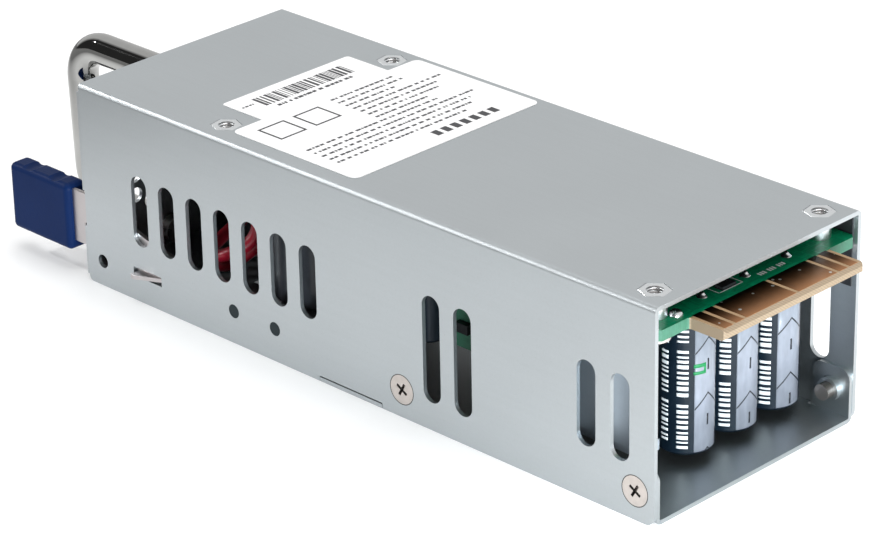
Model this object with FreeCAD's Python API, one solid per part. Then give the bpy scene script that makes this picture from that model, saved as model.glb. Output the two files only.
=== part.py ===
import FreeCAD, Part
import math
import os

# Hot swap server power supply: a sheet-metal casing with a card-edge board at
# its front end and a handle, a latch and a mains inlet at its rear end.
# Millimetres. Origin: centre of the casing's underside. +X points forward, the
# way the supply slides into its bay, +Y to the far side wall and +Z up.
# Places are counted from three datums: the side walls' rear edges, the near
# side wall's outer face and the underside. The function at() turns them into
# model coordinates.

# --- Casing ------------------------------------------------------------------
casing_length = 142.4
casing_width = 52.5
casing_height = 40.0
sheet = 0.8
bend_inner = 0.2
seam = 0.1                     # gap between sheets that pass without seating
rear_corner_radius = 1.0       # lower corners of the side walls
front_corner_radius = 1.9

# --- Side vents ----------------------------------------------------------------
slot_width = 4.2
slot_pitch = 7.5
slot_top = 25.8
rear_slot_start = 15.75
rear_slot_count = 7
rear_slot_length = 14.2
middle_slot_start = 91.4
middle_slot_count = 2
middle_slot_length = 20.4
front_slot_start = 127.35
front_slot_count = 2
front_slot_length = 15.9

# --- Joint between shell and tray -----------------------------------------------
cover_screw_places = (83.9, 138.2)
cover_screw_height = 5.4
screw_radius = 1.5             # M3
screw_head_radius = 2.8
cover_screw_length = 4.2
tab_width = 8.2
tab_height = 9.8
tab_corner_radius = 2.0
relief_width = 0.8
collar_radius = 2.2
collar_height = 0.9
foot_lug_start = 63.0
foot_lug_length = 16.0
rear_wall_inset = 0.3          # rear wall's edges, inside the side walls' faces
top_flange_reach = 4.0         # ahead of the casing's rear edge
top_flange_relief = 4.2        # gap beside the upper handle screw's axis
pilot_hole_place = 4.2
pilot_hole_height = 5.1
pilot_hole_radius = 1.35

# --- Handle ----------------------------------------------------------------------
handle_radius = 3.1
handle_from_near = 21.0
handle_reach = 23.5            # rear wall's outer face to the grip's axis
handle_low = 4.0
handle_from_top = 4.0
handle_bend = 7.0
handle_lean = 1.2              # how much shorter the lower leg is
handle_screw_length = 8.0
pan_head_radius = 2.75
pan_head_height = 1.9

# --- Latch -----------------------------------------------------------------------
spring_thickness = 0.8
arm_gap = 0.05                 # between the arm and the wall it rests along
pad_low = 6.5
pad_high = 17.1
pad_end = 20.2                 # behind the rear edge
neck_low = 11.2
neck_slack = 0.5               # between the neck's steps and the rear wall
arm_low = 5.9
arm_low_end = 22.7             # where the arm's lower edge starts to fall
arm_middle = 15.7
arm_middle_high = 13.0
root_low = 3.6
root_high = 9.4
root_start = 33.0
hinge_place = 36.0
hinge_gap = 0.06
spring_end = 55.6
rivet_places = (40.7, 51.6)
rivet_height = 6.5
rivet_radius = 1.35
tooth_front = 20.4
tooth_rear = 14.0
tooth_low = 5.4
tooth_height = 0.8
tooth_reach = 1.8              # how far the tooth stands out of the near wall
latch_slot_rear = 13.0
latch_slot_front = 20.8
latch_slot_low = 5.0
latch_slot_high = 6.9
latch_travel = 5.5             # degrees, grip pressed towards the handle
grip_front = 4.8               # grip's inner end, behind the rear edge
grip_length = 17.3
grip_low = 4.4
grip_high = 18.0
grip_thickness = 4.8
grip_proud = 0.4               # out of the casing's near face
grip_round = 1.2
scallop_places = (4.7, 12.1)   # from the grip's inner end
scallop_radius = 3.4
scallop_depth = 0.75
notch_clearance = 0.3          # below the neck and beyond the pressed arm
notch_headroom = 1.1

# --- Board -----------------------------------------------------------------------
board_thickness = 2.0
standoff_height = 3.8          # top sheet's inner face to the board
board_rear = 30.6
board_edge_gap = 0.4           # from each side wall
board_front_gap = 0.2          # behind the casing's front edge
board_chamfer = 0.7
tongue_width = 35.5
tongue_reach = 7.7
tongue_chamfer = 0.4
bevel_length = 0.75            # tongue's leading edge, both faces
bevel_drop = 0.5
pad_thickness = 0.05
pad_gap = 0.8
pad_widths = (2.0, 1.9, 12.4, 9.7, 2.0, 1.9)
standoff_rear = 35.0
standoff_front = 137.6
standoff_inset = 5.3           # from each side wall's outer face
hex_flats = 5.1
hex_turn = 40.0
hex_chamfer = 0.15
standoff_radius = 2.1
board_hole_radius = 1.7
board_screw_length = 5.0

# --- Capacitors --------------------------------------------------------------------
output_cap_radius = 5.0
output_cap_floor_gap = 1.6
output_cap_place = 129.3
output_cap_wall_gap = 1.5      # from the far side wall
output_cap_pitch = 11.2
cap_standoff = 0.7
cap_end_round = 0.5
cap_groove = 0.35
lead_radius = 0.4
side_cap_place = 116.6
side_cap_from_near = 9.2
side_cap_length = 25.0
bulk_cap_radius = 9.0
bulk_cap_length = 22.0
bulk_cap_fan_gap = 0.3         # ahead of the fan
bulk_cap_from_near = 11.2
aux_cap_radius = 4.0
aux_cap_length = 20.0
aux_cap_place = 82.4
aux_cap_from_near = 8.4

# --- Mains inlet ---------------------------------------------------------------------
inlet_from_far = 13.6          # inlet's centre line, from the far face
inlet_height = 20.0
flange_width = 22.6
flange_height = 30.6
flange_thickness = 2.2
housing_width = 19.6
housing_height = 27.0
housing_depth = 18.5
socket_width = 16.2
socket_height = 24.2
socket_depth = 15.5
socket_chamfer = 4.2
blade_pitch = 14.0
blade_width = 4.0
blade_thickness = 2.0
blade_inset = 1.0
blade_offset = 2.0
terminal_length = 7.0
terminal_width = 4.8
terminal_thickness = 0.8
catch_offset = 6.0             # above and below the inlet's centre
catch_height = 3.0
catch_length = 5.0
catch_depth = 0.9
fit = 0.15                     # clearance of the housing in its cut-out

# --- Fan -----------------------------------------------------------------------------
fan_headroom = 2.6             # between the fan and the board
fan_depth = 10.0
fan_rear = 33.0
fan_from_far = 3.0
fan_wall = 1.0                 # frame left beside the duct
fan_hole_inset = 3.0
fan_hole_radius = 1.6
fan_hub_radius = 7.0
fan_blade_count = 7
fan_tip_gap = 0.7
fan_shaft_radius = 1.0
bearing_gap = 0.05
bracket_width = 7.0
bracket_rise = 3.2             # over the fan screw's axis
fan_screw_reach = 6.0          # into the fan frame
fan_strut_depth = 1.2
fan_strut_width = 1.6
bearing_radius = 2.2
bearing_length = 6.5

# --- Grille and light ------------------------------------------------------------------
grille_hole_radius = 1.5
grille_pitch = 4.1
grille_columns = 3
grille_rows = 5
grille_from_near = 9.0
grille_centre_height = 19.5
light_from_near = 12.6
light_above_board = 0.9
light_radius = 1.5
light_size = (1.4, 1.8)        # light-emitting chip: length and width
light_gap = 0.2                # between the pipe's end and the board

# --- Parts that hang below the board -----------------------------------------------------
transformer_place = 97.0
transformer_from_far = 23.2
core_length = 28.0
core_width = 22.0
core_leg = 6.0
core_height = 21.0
bobbin_wall = 0.8
bobbin_foot = 2.0
output_choke_place = 117.2
output_choke_from_far = 18.5
output_choke_outer = 10.5
output_choke_inner = 5.5
output_choke_width = 7.0
emi_choke_place = 59.0
emi_choke_from_far = 16.0
emi_choke_outer = 9.0
emi_choke_inner = 4.6
emi_choke_width = 8.0
winding_cover = 1.2
x_cap_size = (6.0, 16.0, 12.0)
x_cap_place = 75.0
x_cap_gap = 1.5                # beside the thermistor
y_cap_radius = 4.0
y_cap_thickness = 3.0
y_cap_places = ((67.5, 13.0), (67.5, 18.6))
bridge_size = (15.0, 3.6, 15.0)
bridge_place = 73.0
bridge_from_far = 7.5
fuse_radius = 2.6
fuse_length = 10.0
fuse_place = 70.5
fuse_from_near = 6.5
thermistor_radius = 4.5
thermistor_thickness = 4.0
thermistor_place = 78.0
thermistor_from_near = 16.0
primary_sink_rear = 82.0
primary_sink_length = 28.0
primary_sink_from_far = 5.4
secondary_sink_rear = 121.8
secondary_sink_length = 12.2
secondary_sink_from_near = 4.4
sink_thickness = 2.0
sink_floor_gap = 6.6
sink_fin_height = 2.6
sink_fin_count = 5
package_width = 10.2
package_height = 15.0
package_thickness = 4.4
package_tab = 1.3
control_board_rear = 88.0
control_board_length = 22.0
control_board_drop = 20.0
control_board_thickness = 1.0
control_board_from_near = 7.5
chip_height = 1.3
# from the board's rear edge, length, above the board's lower edge, height
chip_places = ((2.0, 8.0, 9.0, 5.0), (13.0, 5.0, 10.0, 4.0), (3.0, 3.0, 3.5, 1.8),
               (10.0, 3.0, 3.5, 1.8), (17.0, 3.0, 3.5, 1.8))
header_size = (9.0, 6.5, 8.0)
header_place = 37.0
header_fan_gap = 4.65          # between the header and the fan
header_pitch = 3.2

# --- Wires -------------------------------------------------------------------------------
wire_radius = 1.25
earth_wire_radius = 0.9
arc_share = 0.45               # part of the shorter run that an arc takes
wire_lead_out = 4.4            # straight run behind a blade
wire_rise = 9.0                # straight run below the header
# points between, as (from rear, from near, up)
live_route = ((28.9, 27.0, 20.6), (24.6, 14.4, 13.4), (26.2, 6.2, 11.2), (33.2, 4.9, 13.4))
neutral_route = ((28.6, 27.0, 8.6), (23.4, 17.0, 6.6), (23.2, 9.4, 7.6), (31.6, 7.9, 9.8))
earth_route = ((30.4, 42.2, 10.0), (30.0, 42.8, 2.1))
earth_place = 30.0
earth_bracket_gap = 0.4        # between the lug and the fan's near bracket
lug_radius = 2.8
lug_thickness = 0.6
lug_barrel_radius = 1.3
lug_barrel_start = 5.0         # from the lug's centre
lug_barrel_length = 3.0

# --- Sheet goods -------------------------------------------------------------------------
insulator_thickness = 0.25
insulator_rear = 29.8
insulator_front_gap = 1.0
insulator_side_gap = 2.2
insulator_skirt = 13.6         # down the far wall
label_thickness = 0.12
label_rear = 38.3
label_length = 31.6
label_from_near = 3.6
label_width = 46.9
label_corner = 1.4
tag_length = 10.8
tag_from_near = 11.0
tag_width = 31.9

# --- On the board's upper face -----------------------------------------------------------------
solder_radius = 0.95
solder_height = 0.7
# behind the board's front edge, from the near side wall
pin_places = ((3.7, 15.9), (3.7, 26.8), (3.6, 37.3))
surface_part_height = 0.6
# behind the board's front edge, from the near side wall, length, width
surface_part_places = ((3.3, 21.4, 1.7, 3.4), (8.2, 12.0, 3.0, 5.0), (8.7, 31.0, 1.6, 3.2),
                       (11.2, 40.0, 1.6, 3.2))

# --- Worked out from the sizes above ---------------------------------------------------------
rear_x = -casing_length / 2
near_y = -casing_width / 2
bend_outer = bend_inner + sheet
inside_top = casing_height - sheet
handle_high = casing_height - handle_from_top
board_top = inside_top - standoff_height
board_bottom = board_top - board_thickness
can_top = board_bottom - cap_standoff
output_cap_length = can_top - sheet - output_cap_floor_gap
output_cap_last = casing_width - sheet - output_cap_wall_gap - output_cap_radius
output_cap_first = output_cap_last - 2 * output_cap_pitch
sink_low = sheet + sink_floor_gap
fan_size = board_bottom - sheet - fan_headroom
fan_bore = fan_size / 2 - fan_wall
fan_hole_pitch = fan_size - 2 * fan_hole_inset
fan_from_near = casing_width - fan_from_far - fan_size / 2
fan_bracket_places = (fan_from_near - fan_hole_pitch / 2, fan_from_near + fan_hole_pitch / 2)
header_from_near = fan_from_near - fan_size / 2 - header_fan_gap - header_size[1] / 2
earth_from_near = fan_bracket_places[0] + bracket_width / 2 + earth_bracket_gap + lug_radius
x_cap_from_near = thermistor_from_near + (thermistor_thickness + x_cap_size[1]) / 2 + x_cap_gap
bulk_cap_place = fan_rear + fan_depth + bulk_cap_fan_gap + bulk_cap_radius
rear_wall_outer = -(seam + sheet)      # from the side walls' rear edges
flange_top = inside_top - seam
board_front = casing_length - board_front_gap
tongue_front = board_front + tongue_reach
arm_outer = sheet + arm_gap
arm_inner = arm_outer + spring_thickness
hinge_from_near = arm_outer + spring_thickness / 2
inlet_from_near = casing_width - inlet_from_far
light_height = board_top + light_above_board


def at(from_rear, from_near, up):
    return FreeCAD.Vector(rear_x + from_rear, near_y + from_near, up)


def block(rear, front, near, far, low, high):
    corner = at(rear, near, low)
    return Part.makeBox(front - rear, far - near, high - low, corner)


def rod(radius, start, end):
    run = end - start
    return Part.makeCylinder(radius, run.Length, start, run)


def taper(radius_1, radius_2, start, end):
    run = end - start
    return Part.makeCone(radius_1, radius_2, run.Length, start, run)


def side_view(place):
    """Outline points are (from rear, up); the sheet stands at this distance from near."""
    return lambda a, b: at(a, place, b)


def end_view(place):
    """Outline points are (from near, up)."""
    return lambda a, b: at(place, a, b)


def plan_view(height):
    """Outline points are (from rear, from near)."""
    return lambda a, b: at(a, b, height)


def outline(corners, view):
    """Closed face from corners (a, b, corner radius) in one of the three views."""
    points = [view(a, b) for a, b, _ in corners]
    radii = [radius for _, _, radius in corners]
    starts, ends, middles = [], [], []
    for i, corner in enumerate(points):
        back = (points[i - 1] - corner).normalize()
        ahead = (points[(i + 1) % len(points)] - corner).normalize()
        half_angle = back.getAngle(ahead) / 2
        if radii[i] <= 0:
            starts.append(corner)
            ends.append(corner)
            middles.append(None)
            continue
        setback = radii[i] / math.tan(half_angle)
        inward = (back + ahead).normalize()
        centre = corner + inward * (radii[i] / math.sin(half_angle))
        starts.append(corner + back * setback)
        ends.append(corner + ahead * setback)
        middles.append(centre - inward * radii[i])
    edges = []
    for i, middle in enumerate(middles):
        if middle is not None:
            edges.append(Part.Arc(starts[i], middle, ends[i]).toShape())
        following = starts[(i + 1) % len(points)]
        if ends[i].distanceToPoint(following) > 1e-6:
            edges.append(Part.LineSegment(ends[i], following).toShape())
    return Part.Face(Part.Wire(edges))


def along_x(face, length):
    return face.extrude(FreeCAD.Vector(length, 0, 0))


def along_y(face, length):
    return face.extrude(FreeCAD.Vector(0, length, 0))


def along_z(face, length):
    return face.extrude(FreeCAD.Vector(0, 0, length))


def rectangle(a0, a1, b0, b1, radius):
    return [(a0, b0, radius), (a1, b0, radius), (a1, b1, radius), (a0, b1, radius)]


def joined(shapes):
    whole = shapes[0]
    if len(shapes) > 1:
        whole = whole.fuse(shapes[1:])
    return whole.removeSplitter()


def group(shapes):
    return Part.makeCompound(shapes)


def mirrored(shape):
    """The same shape on the casing's other side."""
    return shape.mirror(FreeCAD.Vector(0, 0, 0), FreeCAD.Vector(0, 1, 0))


def hexagon(centre, flats, turn):
    corner_radius = flats / math.sqrt(3)
    points = []
    for i in range(6):
        angle = math.radians(turn + 60 * i)
        step = FreeCAD.Vector(math.cos(angle), math.sin(angle), 0) * corner_radius
        points.append(centre + step)
    points.append(points[0])
    return Part.Face(Part.makePolygon(points))


def wire_tube(points, radius):
    """Round tube along straight runs that are joined by tangent arcs."""
    path = []
    previous = points[0]
    for i in range(1, len(points) - 1):
        corner = points[i]
        back = points[i - 1] - corner
        ahead = points[i + 1] - corner
        setback = arc_share * min(back.Length, ahead.Length)
        back.normalize()
        ahead.normalize()
        half_angle = back.getAngle(ahead) / 2
        inward = (back + ahead).normalize()
        bend = setback * math.tan(half_angle)
        centre = corner + inward * (setback / math.cos(half_angle))
        start = corner + back * setback
        end = corner + ahead * setback
        path.append(Part.LineSegment(previous, start).toShape())
        path.append(Part.Arc(start, centre - inward * bend, end).toShape())
        previous = end
    path.append(Part.LineSegment(previous, points[-1]).toShape())
    spine = Part.Wire(path)
    section = Part.Wire(Part.makeCircle(radius, points[0], points[1] - points[0]))
    tube = spine.makePipeShell([section], True, False)
    expected = math.pi * radius ** 2 * spine.Length
    print("tube", round(tube.Volume / expected, 4), "length", round(spine.Length, 1))
    return tube


# --- Casing ----------------------------------------------------------------------------------

def slot_places():
    """(from rear, length) of every side vent."""
    rows = ((rear_slot_start, rear_slot_count, rear_slot_length),
            (middle_slot_start, middle_slot_count, middle_slot_length),
            (front_slot_start, front_slot_count, front_slot_length))
    places = []
    for start, count, length in rows:
        for i in range(count):
            places.append((start + slot_pitch * i, length))
    return places


def side_vents():
    cuts = []
    half = slot_width / 2
    for place, length in slot_places():
        shape = rectangle(place - half, place + half, slot_top - length, slot_top, half - 1e-4)
        cuts.append(along_y(outline(shape, side_view(0)), casing_width))
    return cuts


def countersink(place):
    """Conical hole for one flat-head screw through the near wall."""
    outer = at(place, 0, cover_screw_height)
    inner = at(place, screw_head_radius, cover_screw_height)
    return taper(screw_head_radius, 0, outer, inner)


def standoff_places():
    places = []
    for from_rear in (standoff_rear, standoff_front):
        for from_near in (standoff_inset, casing_width - standoff_inset):
            places.append((from_rear, from_near))
    return places


def chassis_shell():
    """Top and both side walls, bent from one sheet."""
    lug_top = sheet + seam + 0.15
    lug_end = foot_lug_start + foot_lug_length
    section = [(0, 0, 0), (casing_width, 0, 0),
               (casing_width, casing_height, bend_outer), (0, casing_height, bend_outer)]
    hollow = [(sheet, -sheet, 0), (casing_width - sheet, -sheet, 0),
              (casing_width - sheet, inside_top, bend_inner), (sheet, inside_top, bend_inner)]
    channel = along_x(outline(section, end_view(0)), casing_length)
    channel = channel.cut(along_x(outline(hollow, end_view(0)), casing_length))
    profile = [(0, 0, rear_corner_radius),
               (foot_lug_start, 0, 0), (foot_lug_start, lug_top, 0.3),
               (lug_end, lug_top, 0.3), (lug_end, 0, 0),
               (casing_length, 0, front_corner_radius),
               (casing_length, casing_height, 0), (0, casing_height, 0)]
    shell = channel.common(along_y(outline(profile, side_view(0)), casing_width))
    cuts = side_vents()
    for place in cover_screw_places:
        cuts.append(countersink(place))
        cuts.append(mirrored(countersink(place)))
    cuts.append(rod(pilot_hole_radius, at(pilot_hole_place, 0, pilot_hole_height),
                    at(pilot_hole_place, casing_width, pilot_hole_height)))
    for place in rivet_places:
        cuts.append(rod(rivet_radius, at(place, 0, rivet_height), at(place, sheet, rivet_height)))
    cuts.append(block(latch_slot_rear, latch_slot_front, 0, sheet, latch_slot_low, latch_slot_high))
    for from_rear, from_near in standoff_places():
        foot = at(from_rear, from_near, inside_top)
        cuts.append(along_z(hexagon(foot, hex_flats, hex_turn), sheet))
    return shell.cut(cuts).removeSplitter()


def side_tab(place):
    """Upright tab on the tray's near edge, with the collar that a cover screw bites in."""
    half = tab_width / 2
    shape = [(place - half, 0, 0), (place + half, 0, 0),
             (place + half, tab_height, tab_corner_radius),
             (place - half, tab_height, tab_corner_radius)]
    flat = along_y(outline(shape, side_view(sheet)), sheet)
    seat = at(place, 2 * sheet, cover_screw_height)
    collar = rod(collar_radius, seat, at(place, 2 * sheet + collar_height, cover_screw_height))
    return joined([flat, collar])


def tab_bend_cut(place):
    """What the bend at the tab's foot takes off the square corner."""
    half = tab_width / 2
    square = block(place - half, place + half, sheet, sheet + bend_outer, 0, bend_outer)
    axis_start = at(place - half, sheet + bend_outer, bend_outer)
    axis_end = at(place + half, sheet + bend_outer, bend_outer)
    return square.cut(rod(bend_outer, axis_start, axis_end))


def rear_wall():
    """Rear wall, notched on its near edge where the latch's neck comes through."""
    near = rear_wall_inset
    far = casing_width - near
    fold_near = sheet + seam
    fold_far = casing_width - fold_near
    shoulder = flange_top - bend_outer
    swing = (hinge_place - rear_wall_outer) * math.tan(math.radians(latch_travel))
    notch_far = arm_inner + swing + notch_clearance
    notch_low = neck_low - notch_clearance
    notch_high = pad_high + notch_headroom
    shape = [(fold_near, 0, 0), (fold_far, 0, 0), (fold_far, bend_outer, 0),
             (far, bend_outer, 0), (far, shoulder, 0), (fold_far, shoulder, 0),
             (fold_far, flange_top, 0), (fold_near, flange_top, 0), (fold_near, shoulder, 0),
             (near, shoulder, 0), (near, notch_high, 0), (notch_far, notch_high, 0.6),
             (notch_far, notch_low, 0.6), (near, notch_low, 0), (near, bend_outer, 0),
             (fold_near, bend_outer, 0)]
    return along_x(outline(shape, end_view(rear_wall_outer)), sheet)


def top_flange():
    """Flange bent forward under the casing's top, open over the upper handle screw."""
    near = sheet + seam
    flange = block(rear_wall_outer, top_flange_reach, near, casing_width - near,
                   flange_top - sheet, flange_top)
    gap = block(rear_wall_outer, top_flange_reach, handle_from_near - top_flange_relief,
                handle_from_near + top_flange_relief, flange_top - bend_outer, flange_top)
    return flange, gap


def wall_bend_cut(height, edge):
    """What a bend along the rear wall takes off the square corner at this edge height."""
    near = sheet + seam
    far = casing_width - near
    front = rear_wall_outer + bend_outer
    square = block(rear_wall_outer, front, near, far, min(height, edge), max(height, edge))
    return square.cut(rod(bend_outer, at(front, near, height), at(front, far, height)))


def rear_wall_cuts():
    """Inlet cut-out, handle holes, light hole and grille."""
    depth = sheet
    back = rear_wall_outer
    cuts = []
    half_width = housing_width / 2 + fit
    half_height = housing_height / 2 + fit
    inlet = rectangle(inlet_from_near - half_width, inlet_from_near + half_width,
                      inlet_height - half_height, inlet_height + half_height, 1.0)
    cuts.append(along_x(outline(inlet, end_view(back)), depth))
    for height in (handle_low, handle_high):
        start = at(back, handle_from_near, height)
        cuts.append(rod(screw_radius + 0.2, start, at(back + depth, handle_from_near, height)))
    cuts.append(rod(light_radius, at(back, light_from_near, light_height),
                    at(back + depth, light_from_near, light_height)))
    row_pitch = grille_pitch * math.sqrt(3) / 2
    for column in range(grille_columns):
        from_near = grille_from_near + row_pitch * column
        rows = grille_rows - column % 2
        for row in range(rows):
            height = grille_centre_height + grille_pitch * (row - (rows - 1) / 2)
            start = at(back, from_near, height)
            cuts.append(rod(grille_hole_radius, start, at(back + depth, from_near, height)))
    return cuts


def fan_bracket(place):
    """Upright ear behind one lower corner of the fan, lanced out of the floor."""
    half = bracket_width / 2
    hole_height = sheet + (fan_size - fan_hole_pitch) / 2
    top = hole_height + bracket_rise
    shape = [(place - half, 0, 0), (place + half, 0, 0), (place + half, top, 2.0),
             (place - half, top, 2.0)]
    ear = along_x(outline(shape, end_view(fan_rear - sheet)), sheet)
    hole = rod(screw_radius + 0.2, at(fan_rear - sheet, place, hole_height),
               at(fan_rear, place, hole_height))
    return ear.cut(hole)


def cover_tray():
    """Floor, rear wall and its top flange, bent from one sheet, with tabs for the screws."""
    near = sheet + seam
    far = casing_width - near
    floor = block(rear_wall_outer, casing_length, near, far, 0, sheet)
    lug_end = foot_lug_start + foot_lug_length - seam
    lugs = block(foot_lug_start + seam, lug_end, 0, casing_width, 0, sheet)
    flange, gap = top_flange()
    solids = [floor, lugs, rear_wall(), flange]
    cuts = rear_wall_cuts() + [gap, wall_bend_cut(bend_outer, 0),
                               wall_bend_cut(flange_top - bend_outer, flange_top)]
    for place in cover_screw_places:
        half = tab_width / 2
        tab_rear = place - half
        tab_front = place + half
        edge = block(tab_rear, tab_front, sheet, near + sheet, 0, sheet)
        solids += [side_tab(place), mirrored(side_tab(place)), edge, mirrored(edge)]
        hole_end = at(place, 3 * sheet + collar_height, cover_screw_height)
        hole = rod(screw_radius, at(place, 0, cover_screw_height), hole_end)
        relief = block(tab_rear - relief_width, tab_rear, 0, 2 * sheet + bend_inner, 0, sheet)
        front_relief = block(tab_front, tab_front + relief_width, 0, 2 * sheet + bend_inner, 0, sheet)
        for cut in (tab_bend_cut(place), countersink(place), hole, relief, front_relief):
            cuts += [cut, mirrored(cut)]
    for place in fan_bracket_places:
        solids.append(fan_bracket(place))
        half = bracket_width / 2
        hole_height = sheet + (fan_size - fan_hole_pitch) / 2
        window_rear = fan_rear - sheet - hole_height - bracket_rise
        cuts.append(block(window_rear, fan_rear - sheet, place - half, place + half, 0, sheet))
    tray = joined(solids)
    cuts.append(rod(screw_radius - 0.25, at(earth_place, earth_from_near, 0),
                    at(earth_place, earth_from_near, sheet)))
    return tray.cut(cuts).removeSplitter()


def flat_head_screw(place):
    """Flat-head cover screw with a cross recess, tip inside the casing."""
    outer = at(place, 0, cover_screw_height)
    head_depth = screw_head_radius - screw_radius
    neck = at(place, head_depth, cover_screw_height)
    tip = at(place, cover_screw_length, cover_screw_height)
    screw = joined([taper(screw_head_radius, screw_radius, outer, neck),
                    rod(screw_radius, neck, tip)])
    reach = 1.35
    bar = 0.28
    upright = block(place - bar, place + bar, 0, 1.0,
                    cover_screw_height - reach, cover_screw_height + reach)
    level = block(place - reach, place + reach, 0, 1.0,
                  cover_screw_height - bar, cover_screw_height + bar)
    cross = joined([upright, level])
    cross.rotate(outer, FreeCAD.Vector(0, 1, 0), 30)
    return screw.cut(cross)


def cover_screws():
    screws = []
    for place in cover_screw_places:
        screws += [flat_head_screw(place), mirrored(flat_head_screw(place))]
    return group(screws)


# --- Handle ----------------------------------------------------------------------------------

def handle_bar():
    """Bright round bar bent to a U, tapped at both ends."""
    grip_place = rear_wall_outer - handle_reach
    corners = [at(rear_wall_outer, handle_from_near, handle_high),
               at(grip_place, handle_from_near, handle_high),
               at(grip_place + handle_lean, handle_from_near, handle_low),
               at(rear_wall_outer, handle_from_near, handle_low)]
    path = []
    previous = corners[0]
    for i in (1, 2):
        back = (corners[i - 1] - corners[i]).normalize()
        ahead = (corners[i + 1] - corners[i]).normalize()
        half_angle = back.getAngle(ahead) / 2
        setback = handle_bend / math.tan(half_angle)
        inward = (back + ahead).normalize()
        centre = corners[i] + inward * (handle_bend / math.sin(half_angle))
        start = corners[i] + back * setback
        end = corners[i] + ahead * setback
        path.append(Part.LineSegment(previous, start).toShape())
        path.append(Part.Arc(start, centre - inward * handle_bend, end).toShape())
        previous = end
    path.append(Part.LineSegment(previous, corners[-1]).toShape())
    spine = Part.Wire(path)
    section = Part.Wire(Part.makeCircle(handle_radius, corners[0], FreeCAD.Vector(1, 0, 0)))
    bar = spine.makePipeShell([section], True, False)
    bite = handle_screw_length - sheet
    for height in (handle_low, handle_high):
        mouth = at(rear_wall_outer, handle_from_near, height)
        end = at(rear_wall_outer - bite, handle_from_near, height)
        bar = bar.cut(rod(screw_radius, mouth, end))
    return bar


def handle_screws():
    """Pan-head screws that pull the handle against the rear wall from inside."""
    screws = []
    inside = rear_wall_outer + sheet
    for height in (handle_low, handle_high):
        seat = at(inside, handle_from_near, height)
        top = at(inside + pan_head_height, handle_from_near, height)
        tip = at(inside - handle_screw_length + 0.4, handle_from_near, height)
        screws.append(joined([rod(pan_head_radius, seat, top), rod(screw_radius, seat, tip)]))
    return group(screws)


# --- Latch -----------------------------------------------------------------------------------

def spring_strip(outer):
    """Spring strip in one plane: pad, neck, tapering arm and root."""
    neck_start = rear_wall_outer - neck_slack
    neck_end = neck_slack
    shape = [(-pad_end, pad_low, 0.8), (neck_start, pad_low, 0.6), (neck_start, neck_low, 0.3),
             (neck_end, neck_low, 0.3), (neck_end, arm_low, 0.8), (arm_low_end, arm_low, 10.0),
             (root_start, root_low, 10.0), (spring_end, root_low, 2.6),
             (spring_end, root_high, 2.6), (root_start, root_high, 10.0),
             (arm_middle, arm_middle_high, 20.0), (neck_end, pad_high, 3.0),
             (-pad_end, pad_high, 0.8)]
    return along_y(outline(shape, side_view(outer)), spring_thickness)


def latch_foot():
    """Riveted root of the spring strip, ahead of its bending line."""
    start = hinge_place + spring_thickness / 2 + hinge_gap
    inner = sheet + spring_thickness
    foot = spring_strip(sheet).common(block(start, spring_end, sheet, inner, 0, casing_height))
    for place in rivet_places:
        foot = foot.cut(rod(rivet_radius, at(place, sheet, rivet_height),
                            at(place, inner, rivet_height)))
    return foot


def latch_tooth():
    """Catch folded out of the strip's lower edge: a ramp that ends in a square face."""
    shape = [(tooth_front, arm_outer, 0), (tooth_front, arm_inner, 0),
             (tooth_rear, arm_inner, 0), (tooth_rear, -tooth_reach, 0.3),
             (tooth_rear + 1.0, -tooth_reach, 0.5)]
    return along_z(outline(shape, plan_view(tooth_low)), tooth_height)


def latch_arm():
    """Swinging part of the spring strip, rounded about its bending line."""
    strip = spring_strip(arm_outer)
    arm = strip.common(block(-pad_end, hinge_place, 0, casing_width, 0, casing_height))
    knuckle = rod(spring_thickness / 2, at(hinge_place, hinge_from_near, 0),
                  at(hinge_place, hinge_from_near, casing_height))
    return joined([arm, knuckle.common(strip), latch_tooth()])


def latch_rivets():
    """Flush rivets through the wall and the spring's root."""
    rivets = []
    inner = sheet + spring_thickness
    for place in rivet_places:
        shank = rod(rivet_radius, at(place, 0, rivet_height), at(place, inner, rivet_height))
        head = rod(rivet_radius + 0.8, at(place, inner, rivet_height),
                   at(place, inner + 0.7, rivet_height))
        rivets.append(joined([shank, head]))
    return group(rivets)


def latch_grip():
    """Moulded grip over the strip's rear end, with two finger scallops."""
    inner_end = -grip_front
    outer_end = inner_end - grip_length
    far = grip_thickness - grip_proud
    body = block(outer_end, inner_end, -grip_proud, far, grip_low, grip_high)
    body = body.makeFillet(grip_round, body.Edges)
    axis = far + scallop_radius - scallop_depth
    edge_axis = scallop_radius - scallop_depth / 2
    for place in scallop_places:
        middle = inner_end - place
        body = body.cut(rod(scallop_radius, at(middle, axis, 0), at(middle, axis, casing_height)))
        for height in (grip_low - edge_axis, grip_high + edge_axis):
            body = body.cut(rod(scallop_radius, at(middle, -grip_proud, height),
                                at(middle, far, height)))
    return body.cut(spring_strip(arm_outer))


# --- Board -----------------------------------------------------------------------------------

def tongue_edges():
    middle = casing_width / 2
    return middle - tongue_width / 2, middle + tongue_width / 2


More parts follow.
